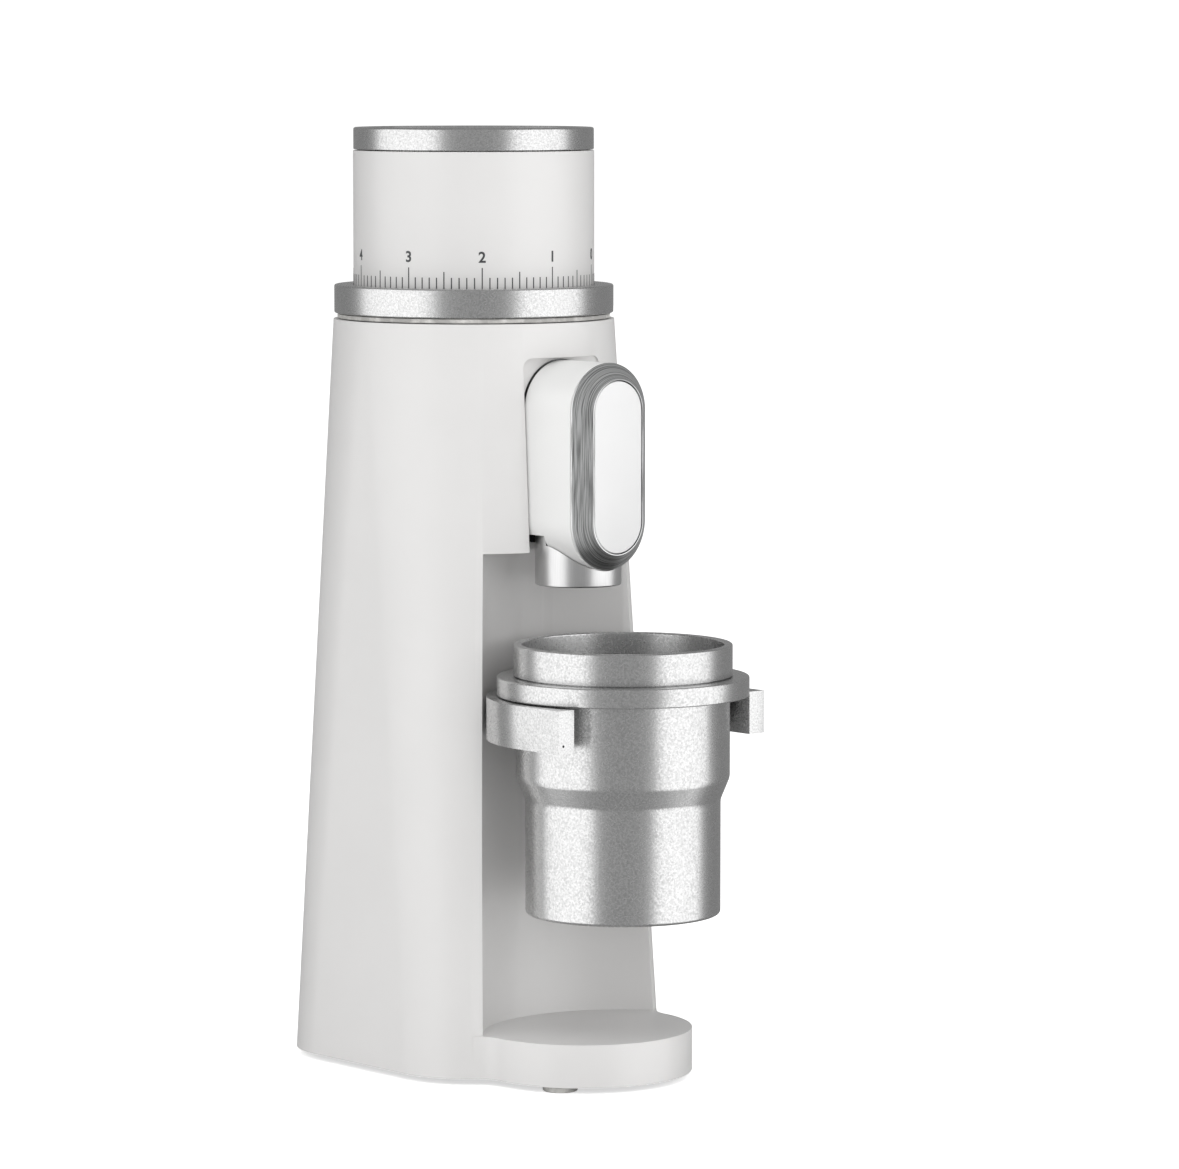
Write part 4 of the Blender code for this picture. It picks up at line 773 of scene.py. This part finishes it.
def dial_tick(turn, low_z, high_z, width):
    """One printed line of the scale, wrapped on the sleeve."""
    proud = sizes().mark_proud
    tick = block("dial_tick", (-width / 2, -proud, low_z), (width / 2, proud, high_z))
    wrap_on_sleeve(tick, turn)
    return tick


def dial_digit(number, turn, low_z, height):
    """One plain numeral of the scale: text made a mesh, stood up and wrapped on the sleeve.
    The text's size is its line height, of which the numeral takes 0.72."""
    nothing_selected()
    bpy.ops.object.text_add(rotation=(math.radians(90), 0, 0))
    text = bpy.context.object
    text.data.body = str(number)
    text.data.align_x = "CENTER"
    text.data.size = height / 0.72
    text.data.extrude = sizes().mark_proud
    text.data.resolution_u = 6
    text.data.offset = 0.11 * MM
    bpy.ops.object.convert(target="MESH")
    bpy.ops.object.transform_apply(location=True, rotation=True, scale=True)
    digit = bpy.context.object
    bottom = min(vert.co.z for vert in digit.data.vertices)
    for vert in digit.data.vertices:
        vert.co.z += low_z - bottom
    wrap_on_sleeve(digit, turn)
    return digit


def model_dial():
    low, high = span("dial_sleeve")
    radius = radius_of("dial_sleeve")
    inner = radius - 2.4 * MM
    profile = softened([(radius, high.z, 0.3 * MM), (radius, low.z, 0.2 * MM),
                        (inner, low.z, 0.2 * MM), (inner, high.z, 0.2 * MM)])
    finished(turned("dial_sleeve_fine", profile, BURR_Y, 192), "dial", "white_shell",
             "powder_paint", "dial_sleeve")
    collar_top = span("collar_ring")[1].z
    step = math.radians(3.6)
    marks = []
    for i in range(100):
        rise = 6.5 if i % 10 == 0 else 5.2 if i % 5 == 0 else 3.4
        marks.append(dial_tick(i * step, collar_top - 1.0 * MM, collar_top + rise * MM,
                               0.36 * MM))
    for number in range(10):
        turn = math.radians(36.0) * (number - 1)
        marks.append(dial_digit(number, turn, collar_top + 8.1 * MM, 3.4 * MM))
    nothing_selected()
    for mark in marks:
        mark.select_set(True)
    bpy.context.view_layer.objects.active = marks[0]
    bpy.ops.object.join()
    scale = bpy.context.object
    scale.name = scale.data.name = "dial_scale"
    finished(scale, "dial", "black_plastic", "ink")


def model_hopper():
    low, high = span("hopper_funnel")
    rim = radius_of("hopper_funnel")
    wall = 1.8 * MM
    spigot = 13.6 * MM
    cone_low = low.z + 12 * MM
    cone_high = span("dial_sleeve")[0].z + 16 * MM
    profile = softened([(rim, high.z, 0.2 * MM), (rim, cone_high, 3 * MM),
                        (spigot, cone_low, 2 * MM), (spigot, low.z, 0.2 * MM),
                        (spigot - wall, low.z, 0.2 * MM),
                        (spigot - wall, cone_low + wall / 2, 2 * MM),
                        (rim - wall, cone_high + wall / 2, 3 * MM),
                        (rim - wall, high.z, 0.2 * MM)])
    finished(turned("hopper_funnel_fine", profile, BURR_Y, 128), "dial", "black_plastic",
             "black_plastic", "hopper_funnel")


def model_lid():
    low, high = span("lid")
    radius = radius_of("lid")
    under = span("dial_sleeve")[1].z + GAP
    plug = 32.4 * MM
    recess = 1.0 * MM
    groove_top, groove_foot = under - 2 * MM, under - 4.6 * MM
    profile = softened([
        (2 * MM, high.z - recess, 0), (radius - 3.9 * MM, high.z - recess, 0.2 * MM),
        (radius - 3.5 * MM, high.z, 0.2 * MM), (radius, high.z, 0.7 * MM),
        (radius, under, 0.3 * MM), (plug, under, 0.2 * MM), (plug, groove_top, 0.1 * MM),
        (plug - 1 * MM, groove_top, 0.1 * MM), (plug - 1 * MM, groove_foot, 0.1 * MM),
        (plug, groove_foot, 0.1 * MM), (plug, low.z, 0.2 * MM),
        (plug - 2.5 * MM, low.z, 0.2 * MM), (plug - 2.5 * MM, under + 2 * MM, 0.5 * MM),
        (2 * MM, under + 2 * MM, 0)], closed=False)
    lid = turned("lid_fine", profile, BURR_Y, 192, closed=False)
    finished(lid, "lid", "satin_aluminium", "blasted_aluminium", "lid")


def model_spout():
    low, high = span("spout_tube")
    radius = radius_of("spout_tube")
    bore = radius - 1.5 * MM
    profile = softened([(radius, high.z, 0), (radius, low.z, 0.5 * MM),
                        (bore, low.z, 0.5 * MM), (bore, high.z, 0)], closed=False)
    tube = turned("spout_tube_fine", profile, SPOUT_Y, 128)
    lever_front = span("lever_bevel_ring")[0].y
    chute_low, chute_high = span("chute")
    room = block("cut_chute_room", (chute_low.x - GAP, SPOUT_Y + 0.5 * MM, chute_low.z - GAP),
                 (chute_high.x + GAP, high.y + 2 * MM, high.z + 2 * MM))
    boolean(tube, room)
    lever = ring_stack("cut_lever", [stadium_ring(radius_of("lever_housing") + 0.4 * MM, y)
                                     for y in (lever_front - 2 * MM, SPOUT_Y - 0.1 * MM)])
    boolean(tube, lever)
    finished(tube, "base", "satin_aluminium", "satin_aluminium", "spout_tube")


def model_lever():
    low, high = span("lever_housing")
    radius = radius_of("lever_housing")
    wall = 1.5 * MM
    soft = 0.5 * MM
    quarter = [math.radians(a) for a in (0, 30, 60, 90)]
    rings = [stadium_ring(radius - r, y) for r, y in
             [(0.2 * MM, high.y), (0, high.y - 0.2 * MM)] + [
                 (soft * (1 - math.cos(t)), low.y + soft * (1 - math.sin(t))) for t in quarter]]
    housing = ring_stack("lever_housing_fine", rings)
    hollow = ring_stack("cut_hollow", [stadium_ring(radius - wall, y)
                                       for y in (low.y + wall, high.y + wall)])
    boolean(housing, hollow)
    mouth = block("cut_mouth", (-radius, SPOUT_Y - 0.4 * MM, low.z - wall),
                  (radius, high.y + wall, low.z + 10.6 * MM))
    boolean(housing, mouth)
    finished(housing, "knocker", "white_shell", "lever_paint", "lever_housing")

    face, back = span("lever_bevel_ring")[0].y, span("lever_bevel_ring")[1].y
    plate = radius_of("lever_front_plate")
    hole = plate + GAP
    section = softened([(hole, back, 0), (radius, back, 0.25 * MM),
                        (radius, back - 0.5 * MM, 0.3 * MM), (hole + 0.3 * MM, face, 0.2 * MM),
                        (hole, face, 0)])
    ring = ring_stack("lever_ring_fine", [stadium_ring(r, y) for r, y in section], closed=True)
    finished(ring, "knocker", "gunmetal", "gunmetal", "lever_bevel_ring")

    soft = 0.4 * MM
    section = [(plate, back)] + [
        (plate - soft * (1 - math.cos(t)), face + soft * (1 - math.sin(t))) for t in quarter]
    front = ring_stack("lever_plate_fine", [stadium_ring(r, y) for r, y in section])
    finished(front, "knocker", "white_shell", "plate_paint", "lever_front_plate")


def model_fork():
    low, high = span("cup_fork")
    outer = radius_of("cup_fork")
    inner = 36.4 * MM
    outline = [(outer, low.y)] + arc((0, CUP_Y), outer, 0, 180, 96) + [(-outer, low.y), (-inner, low.y)]
    outline += arc((0, CUP_Y), inner, 180, 0, 96) + [(inner, low.y)]
    fork = slab("cup_fork_fine", outline, low.z, high.z)
    seat = sizes().niche_radius - GAP
    spread = math.degrees(math.asin(10 * MM / seat))
    boss_outline = arc((0, CUP_Y), seat, 90 - spread, 90 + spread, 16)
    boss_outline += arc((0, CUP_Y), (outer + inner) / 2, 90 + spread, 90 - spread, 16)
    boolean(fork, slab("add_boss", boss_outline, low.z, high.z), "UNION")
    for x in (-6 * MM, 6 * MM):
        centre = Vector((x, CUP_Y + outer, (low.z + high.z) / 2))
        boolean(fork, bar_along_y("cut_bore", centre, (-4 * MM, 5 * MM), SCREW_BORE))
    end = Vector((1.9 * MM - outer, low.y, low.z + 2.5 * MM))
    boolean(fork, bar_along_y("cut_end_hole", end, (-2 * MM, 3 * MM), 0.4 * MM))
    bevelled(fork, 0.6 * MM, 3)
    finished(fork, "base", "satin_aluminium", "blasted_aluminium", "cup_fork")


def model_cup():
    low, high = span("dosing_cup")
    rim = radius_of("dosing_cup")
    collar_low, collar_high = span("cup_collar")
    shoulder_low, shoulder_high = 90 * MM, 97 * MM
    seat = collar_high.z + GAP
    wall = 2 * MM
    floor = low.z + wall
    mouth = rim - 2.6 * MM
    profile = softened([
        (2 * MM, floor, 0), (CUP_LOWER - wall, floor, 3 * MM),
        (CUP_LOWER - wall, shoulder_low, 4 * MM), (mouth, shoulder_high, 4 * MM),
        (mouth, high.z, 0.6 * MM), (rim, high.z, 0.6 * MM), (rim, seat, 0.1 * MM),
        (CUP_UPPER, seat, 0.1 * MM), (CUP_UPPER, shoulder_high, 5 * MM),
        (CUP_LOWER, shoulder_low, 5 * MM), (CUP_LOWER, low.z, 1.2 * MM), (2 * MM, low.z, 0)],
        steps=8, closed=False)
    cup = turned("dosing_cup_fine", profile, CUP_Y, 192, closed=False)
    finished(cup, "cup", "satin_aluminium", "cup_aluminium", "dosing_cup")
    radius = radius_of("cup_collar")
    profile = softened([(radius, collar_high.z, 0.5 * MM), (radius, collar_low.z, 0.5 * MM),
                        (CUP_UPPER + GAP, collar_low.z, 0.2 * MM),
                        (CUP_UPPER + GAP, collar_high.z, 0.2 * MM)])
    finished(turned("cup_collar_fine", profile, CUP_Y, 192), "cup", "satin_aluminium",
             "cup_aluminium", "cup_collar")


def model_inlet():
    low, high = span("power_inlet")
    inlet = block("power_inlet_fine", low, high)
    rim = 2 * MM
    hollowed(inlet, "cut_socket", low, high, rim, 2.5 * MM)
    centre = middle("power_inlet")
    for x in (-5.5 * MM, 0, 5.5 * MM):
        pin = block("add_pin", (x - 0.9 * MM, low.y + rim / 2, centre.z - 4.2 * MM),
                    (x + 0.9 * MM, high.y - 3 * MM, centre.z - 1.8 * MM))
        boolean(inlet, bevelled(pin, 0.3 * MM, 2), "UNION")
    bevelled(inlet, 0.3 * MM, 2)
    finished(inlet, "base", "black_plastic", "black_plastic", "power_inlet")


def model_switch():
    low, high = span("switch_frame")
    housing = block("switch_frame_fine", low, high)
    hollowed(housing, "cut_well", low, high, 1.2 * MM)
    bevelled(housing, 0.3 * MM, 2)
    finished(housing, "base", "black_plastic", "black_plastic", "switch_frame")


def finish_cad_nodes():
    """Give every CAD node that still shows the finish of its material slot in the record."""
    shown = {part["node"]: FINISHES[SLOT_FINISH[part["material_slot"]]]
             for part in frame["record"]["subparts"]}
    for name, obj in frame["nodes"].items():
        obj.data.materials.clear()
        obj.data.materials.append(shown[name])


# ------------------------------------------------------------ stage

CAMERA_TURN = -41.114   # degrees round the grinder, from its front towards its left
CAMERA_DROP = 5.539     # degrees that the camera looks down
MIDDLE = (0, 0, 0.15)
LIGHTS = (
    # name, place as turn, reach and height, aim, size, watts, only in reflections
    ("left_strip", (-68, 0.95, 0.15), MIDDLE, (1.35, 1.6), 8.6, True),
    ("right_strip", (69, 0.95, 0.15), MIDDLE, (1.2, 1.6), 8.0, True),
    ("left_fill", (-70, 1.2, 0.4), MIDDLE, (0.9, 0.9), 1.25, False),
    ("right_fill", (60, 1.2, 0.5), MIDDLE, (0.9, 0.9), 0.5, False),
    ("front_fill", (20, 1.6, 0.5), MIDDLE, (0.8, 0.8), 0.6, False),
    ("niche_fill", (25, 0.7, 0.22), (0, CUP_Y, 0.04), (0.9, 0.3), 0.9, False),
    ("top_fill", (10, 0.6, 1.2), MIDDLE, (1.0, 1.0), 4.0, False),
)


def soft_light(name, place, aim, size, power, gloss):
    """A large soft box that faces a point: it only shows in reflections, or it only lights."""
    light = bpy.data.lights.new(name, "AREA")
    light.shape = "RECTANGLE"
    light.size, light.size_y = size
    light.energy = power
    lamp = bpy.data.objects.new(name, light)
    bpy.context.scene.collection.objects.link(lamp)
    lamp.location = place
    lamp.rotation_euler = (Vector(aim) - Vector(place)).to_track_quat("-Z", "Y").to_euler()
    lamp.visible_camera = False
    lamp.visible_diffuse = not gloss
    lamp.visible_glossy = gloss


def round_view(turn, reach, height):
    """A place round the grinder; turn is in degrees from the camera, positive to its right."""
    angle = math.radians(CAMERA_TURN + turn)
    return (reach * math.sin(angle), -reach * math.cos(angle), height)


def set_stage():
    nothing_selected()
    bpy.ops.mesh.primitive_plane_add(size=8.0, location=(0, 0, FLOOR_Z))
    bpy.ops.object.transform_apply(location=True, rotation=True, scale=True)
    floor = bpy.context.object
    floor.name = floor.data.name = "studio_floor"
    mat, tree, shader, place = blank_material("white_studio_sweep")
    cloud = node(tree, "ShaderNodeTexNoise", {"Scale": 3.0}, {"Vector": place})
    base = linear(colours().floor)
    follow(tree, shader, cloud.outputs["Fac"], (scaled(base, 0.995), base))
    set_sockets(shader, Roughness=0.9, Specular_IOR_Level=0.1)
    path = node(tree, "ShaderNodeLightPath")
    lift = node(tree, "ShaderNodeMath", {"operation": "MULTIPLY", 1: 0.6},
                {0: path.outputs["Is Camera Ray"]})
    tree.links.new(lift.outputs[0], shader.inputs["Emission Strength"])
    shader.inputs["Emission Color"].default_value = grey(1.0)
    floor.data.materials.append(mat)
    floor.visible_glossy = False

    world = bpy.data.worlds.new("studio_world")
    bpy.context.scene.world = world
    world.use_nodes = True
    tree = world.node_tree
    tree.nodes.clear()
    path = node(tree, "ShaderNodeLightPath")
    toward = Vector(round_view(0, 1.0, 0.0))
    way = node(tree, "ShaderNodeTexCoord").outputs["Generated"]
    facing = node(tree, "ShaderNodeVectorMath", {"operation": "DOT_PRODUCT", 1: toward}, {0: way})
    share = node(tree, "ShaderNodeMapRange", {"From Min": -1.0, "From Max": 1.0},
                 {"Value": facing.outputs["Value"]})
    room = ramp_between(tree, share.outputs[0], grey(0.30), grey(0.42), 0.35, 0.95)
    seen = node(tree, "ShaderNodeBackground", {"Color": grey(1.0), "Strength": 1.05})
    fill = node(tree, "ShaderNodeBackground", {"Color": grey(1.0), "Strength": 0.70})
    mirrored = node(tree, "ShaderNodeBackground", {"Strength": 1.0}, {"Color": room})
    unseen = node(tree, "ShaderNodeMixShader",
                  links={0: path.outputs["Is Glossy Ray"], 1: fill.outputs[0],
                         2: mirrored.outputs[0]})
    mixed = node(tree, "ShaderNodeMixShader",
                 links={0: path.outputs["Is Camera Ray"], 1: unseen.outputs[0],
                        2: seen.outputs[0]})
    node(tree, "ShaderNodeOutputWorld", links={"Surface": mixed.outputs[0]})

    for name, place, *rest in LIGHTS:
        soft_light(name, round_view(*place), *rest)

    camera = bpy.data.cameras.new("studio_camera")
    camera.lens = 165.46
    camera.sensor_width = 36.0
    eye = bpy.data.objects.new("studio_camera", camera)
    bpy.context.scene.collection.objects.link(eye)
    eye.location = (-1.11041, BURR_Y - 1.32838, 0.31961)
    eye.rotation_euler = (math.radians(90 - CAMERA_DROP), 0, math.radians(CAMERA_TURN))
    bpy.context.scene.camera = eye
    bpy.context.scene.view_settings.view_transform = "Standard"


# ------------------------------------------------------------ operators and panel

PIECES = (
    ("body", "Body shell", "Model the white body with its niche, foot disc and wall", model_body),
    ("feet", "Feet", "Model the four silicone pads", model_feet),
    ("collar", "Collar", "Model the aluminium collar and the gasket under it", model_collar),
    ("dial", "Dial", "Model the dial's sleeve and its printed scale", model_dial),
    ("hopper", "Hopper", "Model the funnel inside the dial", model_hopper),
    ("lid", "Lid", "Model the aluminium lid", model_lid),
    ("spout", "Spout", "Model the spout under the lever", model_spout),
    ("lever", "Knocker lever", "Model the lever's housing, ring and plate", model_lever),
    ("fork", "Cup fork", "Model the fork that carries the cup", model_fork),
    ("cup", "Dosing cup", "Model the cup and its collar", model_cup),
    ("inlet", "Mains inlet", "Model the inlet in the back", model_inlet),
    ("switch", "Switch", "Model the switch's frame", model_switch),
    ("cad_finish", "Hidden pieces", "Finish the pieces kept from the frame", finish_cad_nodes),
    ("stage", "Stage", "Add the floor, the lights and the camera", set_stage),
)


def piece_operator(key, label, description, work):
    """An operator that models one piece or group of like pieces."""
    def execute(self, context):
        work()
        return {"FINISHED"}

    return type("GRINDER_OT_" + key, (bpy.types.Operator,), {
        "bl_idname": "grinder." + key, "bl_label": label, "__doc__": description, "execute": execute,
        "bl_options": {"REGISTER", "UNDO"}})


OPERATORS = [piece_operator(*piece) for piece in PIECES]


class GRINDER_PT_panel(bpy.types.Panel):
    """Lists the pieces in the sidebar of the 3D view."""

    bl_idname = "GRINDER_PT_panel"
    bl_label = "Burr Coffee Grinder"
    bl_space_type = "VIEW_3D"
    bl_region_type = "UI"
    bl_category = "Grinder"

    def draw(self, context):
        for key, label, _, _ in PIECES:
            self.layout.operator("grinder." + key, text=label)
        for group in (context.scene.grinder_sizes, context.scene.grinder_colours):
            for name in group.bl_rna.properties.keys():
                if name not in {"rna_type", "name"}:
                    self.layout.prop(group, name)


CLASSES = (GrinderSizes, GrinderColours, *OPERATORS, GRINDER_PT_panel)


def register():
    for cls in CLASSES:
        bpy.utils.register_class(cls)
    bpy.types.Scene.grinder_sizes = bpy.props.PointerProperty(type=GrinderSizes)
    bpy.types.Scene.grinder_colours = bpy.props.PointerProperty(type=GrinderColours)


def unregister():
    del bpy.types.Scene.grinder_sizes
    del bpy.types.Scene.grinder_colours
    for cls in reversed(CLASSES):
        bpy.utils.unregister_class(cls)


def main():
    register()
    FINISHES.update(make_finishes())
    for key, *_ in PIECES:
        getattr(bpy.ops.grinder, key)()


if __name__ == "__main__":
    main()
